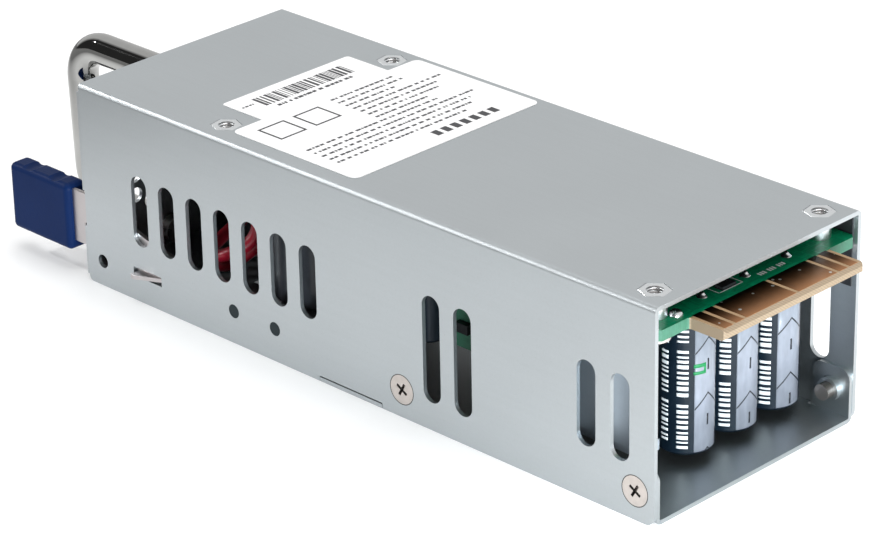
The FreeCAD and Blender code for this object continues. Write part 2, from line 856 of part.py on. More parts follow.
def main_board():
    """Board with the bevelled card-edge tongue at its front and holes at the standoffs."""
    near = sheet + board_edge_gap
    far = casing_width - near
    tongue_near, tongue_far = tongue_edges()
    shape = [(board_rear, near, 1.0),
             (board_front - board_chamfer, near, 0), (board_front, near + board_chamfer, 0),
             (board_front, tongue_near, 0.6),
             (tongue_front - tongue_chamfer, tongue_near, 0),
             (tongue_front, tongue_near + tongue_chamfer, 0),
             (tongue_front, tongue_far - tongue_chamfer, 0),
             (tongue_front - tongue_chamfer, tongue_far, 0),
             (board_front, tongue_far, 0.6),
             (board_front, far - board_chamfer, 0), (board_front - board_chamfer, far, 0),
             (board_rear, far, 1.0)]
    board = along_z(outline(shape, plan_view(board_bottom)), board_thickness)
    for from_rear, from_near in standoff_places():
        hole = rod(board_hole_radius, at(from_rear, from_near, board_bottom),
                   at(from_rear, from_near, board_top))
        board = board.cut(hole)
    for face, drop in ((board_top, bevel_drop), (board_bottom, -bevel_drop)):
        wedge = [(tongue_front - bevel_length, face, 0), (tongue_front, face - drop, 0),
                 (tongue_front, face, 0)]
        board = board.cut(along_y(outline(wedge, side_view(tongue_near)), tongue_width))
    return board


def contact_pads():
    """Gold fingers on both faces of the tongue."""
    tongue_near, tongue_far = tongue_edges()
    total = sum(pad_widths) + pad_gap * (len(pad_widths) - 1)
    pads = []
    start = (tongue_near + tongue_far) / 2 - total / 2
    for width in pad_widths:
        front = tongue_front - bevel_length
        for low in (board_top, board_bottom - pad_thickness):
            pads.append(block(board_front, front, start, start + width, low, low + pad_thickness))
        start += width + pad_gap
    return group(pads)


def board_standoffs():
    """Clinched hexagon standoffs, flush with the casing's top."""
    standoffs = []
    for from_rear, from_near in standoff_places():
        head = along_z(hexagon(at(from_rear, from_near, inside_top), hex_flats, hex_turn), sheet)
        rim = [edge for edge in head.Edges if edge.BoundBox.ZMin > casing_height - hex_chamfer]
        head = head.makeChamfer(hex_chamfer, rim)
        barrel = rod(standoff_radius, at(from_rear, from_near, board_top),
                     at(from_rear, from_near, inside_top))
        bore = rod(screw_radius, at(from_rear, from_near, board_top),
                   at(from_rear, from_near, casing_height))
        standoffs.append(joined([head, barrel]).cut(bore))
    return group(standoffs)


def board_screws():
    """Pan-head screws that hold the board to the standoffs."""
    screws = []
    for from_rear, from_near in standoff_places():
        seat = at(from_rear, from_near, board_bottom)
        head = rod(pan_head_radius, at(from_rear, from_near, board_bottom - pan_head_height), seat)
        shank = rod(screw_radius, seat, at(from_rear, from_near, board_bottom + board_screw_length))
        screws.append(joined([head, shank]))
    return group(screws)


# --- Capacitors ------------------------------------------------------------------------------

def capacitor(from_rear, from_near, radius, length):
    """Can that hangs from the board on two leads, vented end down."""
    top = can_top
    low = top - length
    groove_up = top - 2.4
    ledge = radius * 0.8
    profile = [(0, top), (ledge, top), (ledge, top - 0.4), (radius - cap_end_round, top - 0.2),
               (radius, top - 0.2 - cap_end_round), (radius, groove_up + 0.8),
               (radius - cap_groove, groove_up), (radius, groove_up - 0.8),
               (radius, low + cap_end_round), (radius - cap_end_round, low),
               (ledge, low), (ledge, low + 0.3), (0, low + 0.3), (0, top)]
    points = [at(from_rear + a, from_near, b) for a, b in profile]
    face = Part.Face(Part.makePolygon(points))
    can = face.revolve(at(from_rear, from_near, 0), FreeCAD.Vector(0, 0, 1), 360)
    leads = []
    for side in (-radius / 2, radius / 2):
        leads.append(rod(lead_radius, at(from_rear, from_near + side, top - 0.1),
                         at(from_rear, from_near + side, board_bottom)))
    return joined([can] + leads)


# --- Wound parts -----------------------------------------------------------------------------

def transformer_frame():
    """The transformer's place from the rear and from near, and the height of its core's top."""
    from_near = casing_width - transformer_from_far
    top = board_bottom - bobbin_foot
    return transformer_place, from_near, top


def transformer_core():
    """Two E-shaped ferrite halves around the bobbin, seen as one closed core."""
    place, from_near, top = transformer_frame()
    half_length = core_length / 2
    low = top - core_height
    core = block(place - half_length, place + half_length, from_near - core_width / 2,
                 from_near + core_width / 2, low, top)
    window_low = low + core_leg
    window_high = top - core_leg
    inner = half_length - core_leg
    hollow = block(place - inner, place + inner, from_near - core_width / 2,
                   from_near + core_width / 2, window_low, window_high)
    post = rod(core_leg, at(place, from_near, window_low), at(place, from_near, window_high))
    return joined([core.cut(hollow), post])


def transformer_sleeve_radii():
    inner = core_leg
    outer = core_length / 2 - core_leg - 0.3
    return inner, outer


def transformer_bobbin():
    """Bobbin: a tube round the middle post, a cheek at each end and a pin foot."""
    place, from_near, top = transformer_frame()
    inner, outer = transformer_sleeve_radii()
    low = top - core_height + core_leg
    high = top - core_leg
    tube = rod(inner + bobbin_wall, at(place, from_near, low), at(place, from_near, high))
    lower_cheek = rod(outer, at(place, from_near, low), at(place, from_near, low + bobbin_wall))
    upper_cheek = rod(outer, at(place, from_near, high - bobbin_wall), at(place, from_near, high))
    spool = joined([tube, lower_cheek, upper_cheek])
    spool = spool.cut(rod(inner, at(place, from_near, low), at(place, from_near, high)))
    foot = block(place - core_length / 2, place + core_length / 2,
                 from_near - core_width / 2, from_near + core_width / 2, top, board_bottom)
    return group([spool, foot])


def transformer_winding():
    place, from_near, top = transformer_frame()
    inner, outer = transformer_sleeve_radii()
    low = top - core_height + core_leg + bobbin_wall
    high = top - core_leg - bobbin_wall
    coil = rod(outer - 0.4, at(place, from_near, low), at(place, from_near, high))
    return coil.cut(rod(inner + bobbin_wall, at(place, from_near, low), at(place, from_near, high)))


def ring(centre, outer, inner, width, axis, edge_round):
    """Rounded ring of rectangular section, width centred on its middle."""
    start = centre - axis * (width / 2)
    body = Part.makeCylinder(outer, width, start, axis)
    body = body.cut(Part.makeCylinder(inner, width, start, axis))
    return body.makeFillet(edge_round, [edge for edge in body.Edges if edge.Closed])


def choke_winding(centre, outer, inner, width, axis, gap_angle, halves):
    """Copper layer over a ring core, open where the winding's two ends leave."""
    cover = ring(centre, outer + winding_cover, inner - winding_cover,
                 width + 2 * winding_cover, axis, winding_cover)
    cover = cover.cut(ring(centre, outer, inner, width, axis, 0.6))
    up = FreeCAD.Vector(0, 0, 1)
    wedge_length = 2 * outer
    wedge_half = wedge_length * math.tan(math.radians(gap_angle / 2))
    sideways = axis.cross(up).normalize()
    depth = width + 4 * winding_cover
    directions = (up, up * -1) if halves else (up * -1,)
    for direction in directions:
        far_left = centre + direction * wedge_length + sideways * wedge_half
        far_right = centre + direction * wedge_length - sideways * wedge_half
        triangle = Part.Face(Part.makePolygon([centre, far_left, far_right, centre]))
        triangle.translate(axis * (-depth / 2))
        cover = cover.cut(triangle.extrude(axis * depth))
    return cover


def output_choke():
    axis = FreeCAD.Vector(1, 0, 0)
    height = board_bottom - output_choke_outer - winding_cover
    centre = at(output_choke_place, casing_width - output_choke_from_far, height)
    core = ring(centre, output_choke_outer, output_choke_inner, output_choke_width, axis, 0.6)
    winding = choke_winding(centre, output_choke_outer, output_choke_inner,
                            output_choke_width, axis, 40, False)
    return core, winding


def emi_choke():
    axis = FreeCAD.Vector(1, 0, 0)
    height = board_bottom - emi_choke_outer - winding_cover
    centre = at(emi_choke_place, casing_width - emi_choke_from_far, height)
    core = ring(centre, emi_choke_outer, emi_choke_inner, emi_choke_width, axis, 0.6)
    windings = choke_winding(centre, emi_choke_outer, emi_choke_inner,
                             emi_choke_width, axis, 50, True)
    return core, windings


# --- Small parts below the board ---------------------------------------------------------------

def hanging_box(from_rear, from_near, size, edge_round):
    length, width, drop = size
    body = block(from_rear - length / 2, from_rear + length / 2, from_near - width / 2,
                 from_near + width / 2, board_bottom - drop, board_bottom)
    upright = [edge for edge in body.Edges if edge.BoundBox.ZLength > drop / 2]
    return body.makeFillet(edge_round, upright)


def hanging_disc(from_rear, from_near, radius, thickness):
    """Disc part that stands on edge on two short leads."""
    centre_height = board_bottom - radius - 1.5
    start = at(from_rear, from_near - thickness / 2, centre_height)
    disc = rod(radius, start, at(from_rear, from_near + thickness / 2, centre_height))
    disc = disc.makeFillet(thickness / 4, [edge for edge in disc.Edges if edge.Closed])
    parts = [disc]
    for side in (-radius / 2, radius / 2):
        parts.append(rod(lead_radius, at(from_rear + side, from_near, centre_height),
                         at(from_rear + side, from_near, board_bottom)))
    return joined(parts)


def y_capacitors():
    discs = []
    for from_rear, from_near in y_cap_places:
        discs.append(hanging_disc(from_rear, from_near, y_cap_radius, y_cap_thickness))
    return group(discs)


def fuse():
    """Cartridge fuse with end caps, on two clips."""
    height = board_bottom - fuse_radius - 1.2
    half = fuse_length / 2
    start = at(fuse_place - half, fuse_from_near, height)
    end = at(fuse_place + half, fuse_from_near, height)
    parts = [rod(fuse_radius - 0.3, start, end)]
    for side in (-half, half - 2.6):
        cap_start = at(fuse_place + side, fuse_from_near, height)
        cap_end = at(fuse_place + side + 2.6, fuse_from_near, height)
        parts.append(rod(fuse_radius, cap_start, cap_end))
        parts.append(block(fuse_place + side + 0.3, fuse_place + side + 2.3,
                           fuse_from_near - 1.5, fuse_from_near + 1.5, height, board_bottom))
    return joined(parts)


def primary_heat_sink():
    """Extruded plate with a row of fins towards the far wall."""
    low = sink_low
    face = casing_width - primary_sink_from_far
    near = face - sink_thickness
    end = primary_sink_rear + primary_sink_length
    parts = [block(primary_sink_rear, end, near, face, low, board_bottom)]
    fin_pitch = primary_sink_length / sink_fin_count
    for i in range(sink_fin_count):
        middle = primary_sink_rear + fin_pitch * (i + 0.5)
        parts.append(block(middle - 0.5, middle + 0.5, face, face + sink_fin_height,
                           low, board_bottom - 3))
    return joined(parts)


def secondary_heat_sink():
    """Plain plate along the near wall, folded inwards at its foot."""
    low = sink_low
    near = secondary_sink_from_near
    far = near + sink_thickness + package_thickness
    shape = [(near, board_bottom, 0), (near, low, sink_thickness + 0.5), (far, low, 0),
             (far, low + sink_thickness, 0), (near + sink_thickness, low + sink_thickness, 0.5),
             (near + sink_thickness, board_bottom, 0)]
    return along_x(outline(shape, end_view(secondary_sink_rear)), secondary_sink_length)


def power_package(from_rear, face, faces_near):
    """Flat transistor package with its metal tab against a heat sink's face."""
    side = -1 if faces_near else 1
    width = package_width / 2
    low = board_bottom - 4.0 - package_height
    body_low = low + 6.0

    def slab(depth, bottom, high, half_width):
        near, far = sorted((face, face + side * depth))
        return block(from_rear - half_width, from_rear + half_width, near, far, bottom, high)

    tab = slab(package_tab, low, body_low + 1, width)
    hole = rod(1.8, at(from_rear, face - 3, low + 2.6), at(from_rear, face + 3, low + 2.6))
    body = slab(package_thickness, body_low, board_bottom - 4.0, width)
    parts = [tab.cut(hole), body]
    middle = face + side * 2.4
    for step in (-2.54, 0, 2.54):
        parts.append(block(from_rear + step - 0.4, from_rear + step + 0.4,
                           middle - 0.3, middle + 0.3, board_bottom - 4.5, board_bottom))
    return joined(parts)


def primary_switches():
    face = casing_width - primary_sink_from_far - sink_thickness
    first = primary_sink_rear + primary_sink_length * 0.27
    second = primary_sink_rear + primary_sink_length * 0.73
    return group([power_package(first, face, True), power_package(second, face, True)])


def output_rectifier():
    face = secondary_sink_from_near + sink_thickness
    place = secondary_sink_rear + secondary_sink_length / 2
    return power_package(place, face, False)


def control_board():
    """Upright daughter board on a row of pins."""
    near = control_board_from_near
    low = board_bottom - control_board_drop
    return block(control_board_rear, control_board_rear + control_board_length,
                 near, near + control_board_thickness, low, board_bottom)


def control_chips():
    """Chips on the daughter board's near face."""
    face = control_board_from_near
    low = board_bottom - control_board_drop
    chips = []
    for start, length, bottom, height in chip_places:
        rear = control_board_rear + start
        chips.append(block(rear, rear + length, face - chip_height, face, low + bottom,
                           low + bottom + height))
    return group(chips)


# --- Mains inlet -----------------------------------------------------------------------------

def inlet_outline(width, height, chamfer, radius):
    """Upright outline, chamfered on the side where the earth blade sits."""
    middle = inlet_from_near
    near, far = middle - width / 2, middle + width / 2
    low, high = inlet_height - height / 2, inlet_height + height / 2
    if chamfer <= 0:
        return rectangle(near, far, low, high, radius)
    return [(near, low, radius), (far - chamfer, low, radius), (far, low + chamfer, radius),
            (far, high - chamfer, radius), (far - chamfer, high, radius), (near, high, radius)]


def inlet_blade_places():
    """(from near, up) of the live, neutral and earth blades."""
    middle = inlet_from_near
    return ((middle - blade_offset, inlet_height + blade_pitch / 2),
            (middle - blade_offset, inlet_height - blade_pitch / 2),
            (middle + blade_offset, inlet_height))


def inlet_blades():
    """Three blades that reach from the socket to tabs behind the housing."""
    mouth = rear_wall_outer - flange_thickness
    tip = mouth + blade_inset
    back = mouth + flange_thickness + housing_depth + terminal_length
    blades = []
    for from_near, height in inlet_blade_places():
        shape = rectangle(from_near - blade_width / 2, from_near + blade_width / 2,
                          height - blade_thickness / 2, height + blade_thickness / 2, 0.3)
        front = along_x(outline(shape, end_view(tip)), socket_depth + 1.5)
        tab_start = tip + socket_depth
        tab = block(tab_start, back, from_near - terminal_width / 2, from_near + terminal_width / 2,
                    height - terminal_thickness / 2, height + terminal_thickness / 2)
        blades.append(joined([front, tab]))
    return group(blades)


def inlet_housing():
    """Moulded appliance inlet: flange outside, body through the wall, deep socket."""
    mouth = rear_wall_outer - flange_thickness
    flange = along_x(outline(inlet_outline(flange_width, flange_height, 0, 2.0),
                             end_view(mouth)), flange_thickness)
    body = along_x(outline(inlet_outline(housing_width, housing_height, 0, 0.8),
                           end_view(rear_wall_outer)), housing_depth)
    socket = along_x(outline(inlet_outline(socket_width, socket_height, socket_chamfer, 0.6),
                             end_view(mouth)), socket_depth)
    housing = joined([flange, body]).cut(socket)
    wedge_start = rear_wall_outer + sheet
    for height in (inlet_height - catch_offset, inlet_height + catch_offset):
        for side in (-1, 1):
            root = inlet_from_near + side * housing_width / 2
            barb = [(wedge_start, root, 0), (wedge_start, root + side * catch_depth, 0),
                    (wedge_start + catch_length, root, 0)]
            catch = along_z(outline(barb, plan_view(height - catch_height / 2)), catch_height)
            housing = housing.fuse(catch)
    return housing.removeSplitter().cut(inlet_blades())


# --- Fan ---------------------------------------------------------------------------------------

def fan_centre():
    return fan_from_near, sheet + fan_size / 2


def fan_frame():
    """Square fan frame with a round duct, four struts and the bearing tube."""
    from_near, height = fan_centre()
    half = fan_size / 2
    shape = rectangle(from_near - half, from_near + half, height - half, height + half, 2.0)
    frame = along_x(outline(shape, end_view(fan_rear)), fan_depth)
    front = fan_rear + fan_depth
    frame = frame.cut(rod(fan_bore, at(fan_rear, from_near, height), at(front, from_near, height)))
    parts = [frame]
    for angle in (45, 135, 225, 315):
        strut = block(front - fan_strut_depth, front, from_near - fan_strut_width / 2,
                      from_near + fan_strut_width / 2, height, height + fan_bore + 0.5)
        strut.rotate(at(front, from_near, height), FreeCAD.Vector(1, 0, 0), angle)
        parts.append(strut)
    parts.append(rod(fan_hub_radius, at(front - fan_strut_depth, from_near, height),
                     at(front, from_near, height)))
    bearing_rear = at(front - bearing_length, from_near, height)
    parts.append(rod(bearing_radius, bearing_rear, at(front, from_near, height)))
    body = joined(parts)
    shaft_bore = fan_shaft_radius + bearing_gap
    body = body.cut(rod(shaft_bore, bearing_rear, at(front - 0.6, from_near, height)))
    spread = fan_hole_pitch / 2
    for across in (-spread, spread):
        for up in (-spread, spread):
            body = body.cut(rod(fan_hole_radius, at(fan_rear, from_near + across, height + up),
                                at(front, from_near + across, height + up)))
    return body


def fan_rotor():
    """Hub cup with shaft and pitched blades."""
    from_near, height = fan_centre()
    rear = fan_rear + 0.6
    hub_front = fan_rear + fan_depth - 1.8
    centre = at(rear, from_near, height)
    cup = rod(fan_hub_radius - 0.3, centre, at(hub_front, from_near, height))
    cavity = rod(fan_hub_radius - 1.3, at(rear + 1.0, from_near, height),
                 at(hub_front, from_near, height))
    shaft = rod(fan_shaft_radius, centre, at(hub_front, from_near, height))
    tip = fan_bore - fan_tip_gap
    blade_depth = hub_front - rear
    swept = rod(tip, centre, at(hub_front, from_near, height))
    swept = swept.cut(rod(fan_hub_radius - 0.8, centre, at(hub_front, from_near, height)))
    blades = []
    middle = at((rear + hub_front) / 2, from_near, height)
    for i in range(fan_blade_count):
        blade = Part.makeBox(blade_depth * 1.6, 0.8, tip,
                             middle - FreeCAD.Vector(blade_depth * 0.8, 0.4, 0))
        blade.rotate(middle, FreeCAD.Vector(0, 0, 1), 38)
        blade.rotate(middle, FreeCAD.Vector(1, 0, 0), 360 * i / fan_blade_count)
        blades.append(blade)
    blades = [blade.common(swept) for blade in blades]
    return joined([cup.cut(cavity), shaft] + blades)


def fan_screws():
    """Screws from the brackets into the fan's two lower corner holes."""
    screws = []
    hole_height = sheet + (fan_size - fan_hole_pitch) / 2
    for place in fan_bracket_places:
        seat = at(fan_rear - sheet, place, hole_height)
        head = rod(pan_head_radius, at(fan_rear - sheet - pan_head_height, place, hole_height), seat)
        tip = at(fan_rear + fan_screw_reach, place, hole_height)
        screws.append(joined([head, rod(screw_radius, seat, tip)]))
    return group(screws)


# --- Wires -------------------------------------------------------------------------------------

def terminal_end(index):
    """Where a wire meets the back of its inlet tab."""
    from_near, height = inlet_blade_places()[index]
    back = rear_wall_outer + housing_depth + terminal_length
    return at(back, from_near, height)


def header_socket(side):
    """Where a wire enters the header's underside."""
    return at(header_place, header_from_near + side * header_pitch / 2,
              board_bottom - header_size[2])


def line_wire(blade, route, side):
    """Wire from one line blade's tab, along its route, up into the header."""
    start = terminal_end(blade)
    end = header_socket(side)
    points = [start, start + FreeCAD.Vector(wire_lead_out, 0, 0)]
    points += [at(*place) for place in route]
    points += [end - FreeCAD.Vector(0, 0, wire_rise), end]
    return wire_tube(points, wire_radius)


def live_wire():
    return line_wire(0, live_route, -1)


def neutral_wire():
    return line_wire(1, neutral_route, 1)


def earth_wire():
    start = terminal_end(2)
    end = at(earth_place, earth_from_near + lug_barrel_start + lug_barrel_length,
             sheet + lug_barrel_radius)
    points = [start, start + FreeCAD.Vector(wire_lead_out, 0, 0)]
    points += [at(*place) for place in earth_route] + [end]
    return wire_tube(points, earth_wire_radius)


def earth_lug():
    """Ring terminal with a crimped barrel, bonding the earth wire to the floor."""
    high = sheet + lug_thickness
    disc = rod(lug_radius, at(earth_place, earth_from_near, sheet),
               at(earth_place, earth_from_near, high))
    start = earth_from_near + lug_barrel_start
    half = lug_barrel_radius
    neck = block(earth_place - half, earth_place + half, earth_from_near + screw_radius,
                 start + lug_barrel_length / 2, sheet, high)
    barrel = rod(half, at(earth_place, start, sheet + half),
                 at(earth_place, start + lug_barrel_length, sheet + half))
    hole = rod(screw_radius, at(earth_place, earth_from_near, sheet),
               at(earth_place, earth_from_near, high))
    return joined([disc, neck, barrel]).cut(hole)


def earth_screw():
    low = at(earth_place, earth_from_near, 0.1)
    seat = at(earth_place, earth_from_near, sheet + lug_thickness)
    top = at(earth_place, earth_from_near, sheet + lug_thickness + pan_head_height)
    thread_end = at(earth_place, earth_from_near, sheet)
    head = rod(2.4, seat, top)
    return joined([head, rod(screw_radius, thread_end, seat), rod(screw_radius - 0.25, low, thread_end)])


# --- Sheet goods and light pipe ------------------------------------------------------------------

def insulating_sheet():
    """Black film under the casing's top, folded down inside the far wall."""
    low = inside_top - insulator_thickness
    near = sheet + insulator_side_gap
    wall = casing_width - sheet
    fold = wall - insulator_thickness
    skirt_low = inside_top - insulator_skirt
    shape = [(near, low, 0), (fold, low, 0), (fold, skirt_low, 0), (wall, skirt_low, 0),
             (wall, inside_top, bend_inner), (near, inside_top, 0)]
    length = casing_length - insulator_front_gap - insulator_rear
    film = along_x(outline(shape, end_view(insulator_rear)), length)
    for from_rear, from_near in standoff_places():
        film = film.cut(rod(hex_flats / 2 + 1.0, at(from_rear, from_near, low),
                            at(from_rear, from_near, inside_top)))
    return film


def rating_label():
    """Sticker on the top: a main panel with a smaller tag panel behind it."""
    front = label_rear + label_length
    main = outline(rectangle(label_rear, front, label_from_near,
                             label_from_near + label_width, label_corner),
                   plan_view(casing_height))
    tag_far = tag_from_near + tag_width
    tag = outline([(label_rear - tag_length, tag_from_near, label_corner / 2),
                   (label_rear + 2, tag_from_near, 0), (label_rear + 2, tag_far, 0),
                   (label_rear - tag_length, tag_far, label_corner / 2)],
                  plan_view(casing_height))
    return joined([along_z(main, label_thickness), along_z(tag, label_thickness)])


def light_pipe():
    """Clear pipe that carries the status light from the board to the rear wall."""
    outside = rear_wall_outer
    head = rod(light_radius + 0.5, at(outside - 0.7, light_from_near, light_height),
               at(outside, light_from_near, light_height))
    head = head.makeFillet(0.4, [head.Edges[0]])
    stem = rod(light_radius, at(outside, light_from_near, light_height),
               at(board_rear - light_gap, light_from_near, light_height))
    return joined([head, stem])


def status_light():
    length, width = light_size
    rear = board_rear + light_gap
    return block(rear, rear + length, light_from_near - width / 2, light_from_near + width / 2,
                 board_top, board_top + 2 * light_above_board)


def solder_joints():
    """Domes on the board's upper face: a row of pins and the capacitors' leads."""
    places = [(board_front - back, from_near) for back, from_near in pin_places]
    for i in range(3):
        from_near = output_cap_first + output_cap_pitch * i
        for side in (-output_cap_radius / 2, output_cap_radius / 2):
            places.append((output_cap_place, from_near + side))
    domes = []
    for from_rear, from_near in places:
        domes.append(taper(solder_radius, lead_radius, at(from_rear, from_near, board_top),
                           at(from_rear, from_near, board_top + solder_height)))
    return group(domes)


def surface_parts():
    """Small chip parts on the board's upper face near its front edge."""
    chips = []
    for back, from_near, length, width in surface_part_places:
        from_rear = board_front - back
        chips.append(block(from_rear - length / 2, from_rear + length / 2,
                           from_near - width / 2, from_near + width / 2,
                           board_top, board_top + surface_part_height))
    return group(chips)


def export(name, shape):
    for solid in shape.Solids:
        if not solid.isValid():
            print("not valid:", name)
    print(name, "solids", len(shape.Solids), "volume", round(shape.Volume, 1))
    shape.exportStep("parts/" + name + ".step")


def main():
    os.makedirs("parts", exist_ok=True)
    export("chassis_shell", chassis_shell())
    export("cover_tray", cover_tray())
    export("cover_screws", cover_screws())
    export("handle_bar", handle_bar())
    export("handle_screws", handle_screws())
    export("latch_foot", latch_foot())
    export("latch_arm", latch_arm())
    export("latch_grip", latch_grip())
    export("latch_rivets", latch_rivets())
    export("main_board", main_board())
    export("contact_pads", contact_pads())
    export("board_standoffs", board_standoffs())
    export("board_screws", board_screws())
    for i in range(3):
        from_near = output_cap_first + output_cap_pitch * i
        export("output_capacitor_" + str(i + 1),
               capacitor(output_cap_place, from_near, output_cap_radius, output_cap_length))
    export("output_capacitor_4", capacitor(side_cap_place, side_cap_from_near,
                                           output_cap_radius, side_cap_length))
    export("bulk_capacitor", capacitor(bulk_cap_place, bulk_cap_from_near,
                                       bulk_cap_radius, bulk_cap_length))
    export("aux_capacitor", capacitor(aux_cap_place, aux_cap_from_near,
                                      aux_cap_radius, aux_cap_length))
    export("transformer_core", transformer_core())
    export("transformer_bobbin", transformer_bobbin())
    export("transformer_winding", transformer_winding())
    core, winding = output_choke()
    export("output_choke_core", core)
    export("output_choke_winding", winding)
    core, windings = emi_choke()
    export("emi_choke_core", core)
    export("emi_choke_windings", windings)
    export("x_capacitor", hanging_box(x_cap_place, x_cap_from_near, x_cap_size, 0.8))
    export("y_capacitors", y_capacitors())
    export("bridge_rectifier", hanging_box(bridge_place, casing_width - bridge_from_far,
                                           bridge_size, 0.5))
    export("fuse", fuse())
    export("thermistor", hanging_disc(thermistor_place, thermistor_from_near,
                                      thermistor_radius, thermistor_thickness))
    export("primary_heat_sink", primary_heat_sink())
    export("primary_switches", primary_switches())
    export("secondary_heat_sink", secondary_heat_sink())
    export("output_rectifier", output_rectifier())
    export("control_board", control_board())
    export("control_chips", control_chips())
    export("wire_header", hanging_box(header_place, header_from_near, header_size, 0.5))
    export("inlet_housing", inlet_housing())
    export("inlet_blades", inlet_blades())
    export("fan_frame", fan_frame())
    export("fan_rotor", fan_rotor())
    export("fan_screws", fan_screws())
    export("live_wire", live_wire())
    export("neutral_wire", neutral_wire())
    export("earth_wire", earth_wire())
    export("earth_lug", earth_lug())
    export("earth_screw", earth_screw())
    export("insulating_sheet", insulating_sheet())
    export("rating_label", rating_label())
    export("light_pipe", light_pipe())
    export("status_light", status_light())
    export("solder_joints", solder_joints())
    export("surface_parts", surface_parts())


main()
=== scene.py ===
"""Hot swap server power supply: finishes, printing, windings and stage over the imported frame."""

import math

import bpy
import numpy as np
from bpy.props import FloatProperty, FloatVectorProperty, IntProperty, PointerProperty
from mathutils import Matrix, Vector


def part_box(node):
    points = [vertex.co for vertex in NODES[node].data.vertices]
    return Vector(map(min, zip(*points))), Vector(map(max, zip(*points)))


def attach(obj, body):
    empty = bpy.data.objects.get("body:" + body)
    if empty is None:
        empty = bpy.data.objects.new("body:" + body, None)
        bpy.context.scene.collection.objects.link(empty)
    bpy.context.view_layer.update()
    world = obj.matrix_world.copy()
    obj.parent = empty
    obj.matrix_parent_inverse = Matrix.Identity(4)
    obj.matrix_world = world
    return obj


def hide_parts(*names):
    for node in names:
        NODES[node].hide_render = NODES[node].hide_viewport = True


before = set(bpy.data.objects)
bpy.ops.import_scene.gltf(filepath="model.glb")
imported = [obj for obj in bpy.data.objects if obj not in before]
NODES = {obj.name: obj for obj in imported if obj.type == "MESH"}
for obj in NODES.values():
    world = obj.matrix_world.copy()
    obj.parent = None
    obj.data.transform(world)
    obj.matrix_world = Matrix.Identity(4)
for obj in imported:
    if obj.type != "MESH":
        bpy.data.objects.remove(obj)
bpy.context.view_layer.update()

bl_info = {
    "name": "Server Power Supply",
    "version": (1, 0, 0),
    "blender": (4, 5, 0),
    "location": "View3D > Sidebar > Supply",
    "description": "Dresses the power supply's frame and adds its printing, windings and stage",
    "category": "Object",
}

MM = 0.001


def box(node):
    """Lowest and highest corner of a node, in millimetres, as arrays."""
    low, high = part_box(node)
    return np.array(low) / MM, np.array(high) / MM


def middle(node):
    """A node's middle, in millimetres."""
    low, high = box(node)
    return (low + high) / 2


# --- Shader maths ------------------------------------------------------------


class Number:
    """A number socket in a material. Python arithmetic on it adds Math nodes."""

    def __init__(self, tree, socket):
        self.tree = tree
        self.socket = socket

    def math(self, operation, *others, clamp=False):
        node = self.tree.nodes.new("ShaderNodeMath")
        node.operation = operation
        node.use_clamp = clamp
        for slot, item in zip(node.inputs, (self,) + others):
            if isinstance(item, Number):
                self.tree.links.new(item.socket, slot)
            else:
                slot.default_value = item
        return Number(self.tree, node.outputs[0])

    def __add__(self, other):
        return self.math("ADD", other)

    def __radd__(self, other):
        return self.math("ADD", other)

    def __sub__(self, other):
        return self.math("SUBTRACT", other)

    def __rsub__(self, other):
        """A plain number less this one, such as 1 - mask."""
        node = self.tree.nodes.new("ShaderNodeMath")
        node.operation = "SUBTRACT"
        node.inputs[0].default_value = other
        self.tree.links.new(self.socket, node.inputs[1])
        return Number(self.tree, node.outputs[0])

    def __mul__(self, other):
        return self.math("MULTIPLY", other)

    def __truediv__(self, other):
        return self.math("DIVIDE", other)

    def __gt__(self, other):
        return self.math("GREATER_THAN", other)

    def __pow__(self, other):
        return self.math("POWER", other)

    def __abs__(self):
        return self.math("ABSOLUTE")

    def clamped(self):
        return self.math("ADD", 0.0, clamp=True)

    def wave(self, period):
        """Sine of the value, 0 to 1, once every period."""
        return (self * (2 * math.pi / period)).math("SINE") * 0.5 + 0.5

    def step(self, edge, softness):
        """0 below the edge and 1 above it, over a soft width."""
        return ((self - edge) / softness + 0.5).clamped()

    def band(self, low, high, softness):
        """1 between two edges and 0 outside them."""
        return self.step(low, softness) * (1 - self.step(high, softness))


# A colour Mix node keeps a set of sockets for each kind of value: these are the colour ones.
MIX_FACTOR, MIX_FIRST, MIX_SECOND, MIX_RESULT = 0, 6, 7, 2


def socket_name(channel):
    """A shader socket's name from a keyword: base_color is Base Color."""
    return channel.replace("_", " ").title().replace("Ior", "IOR")


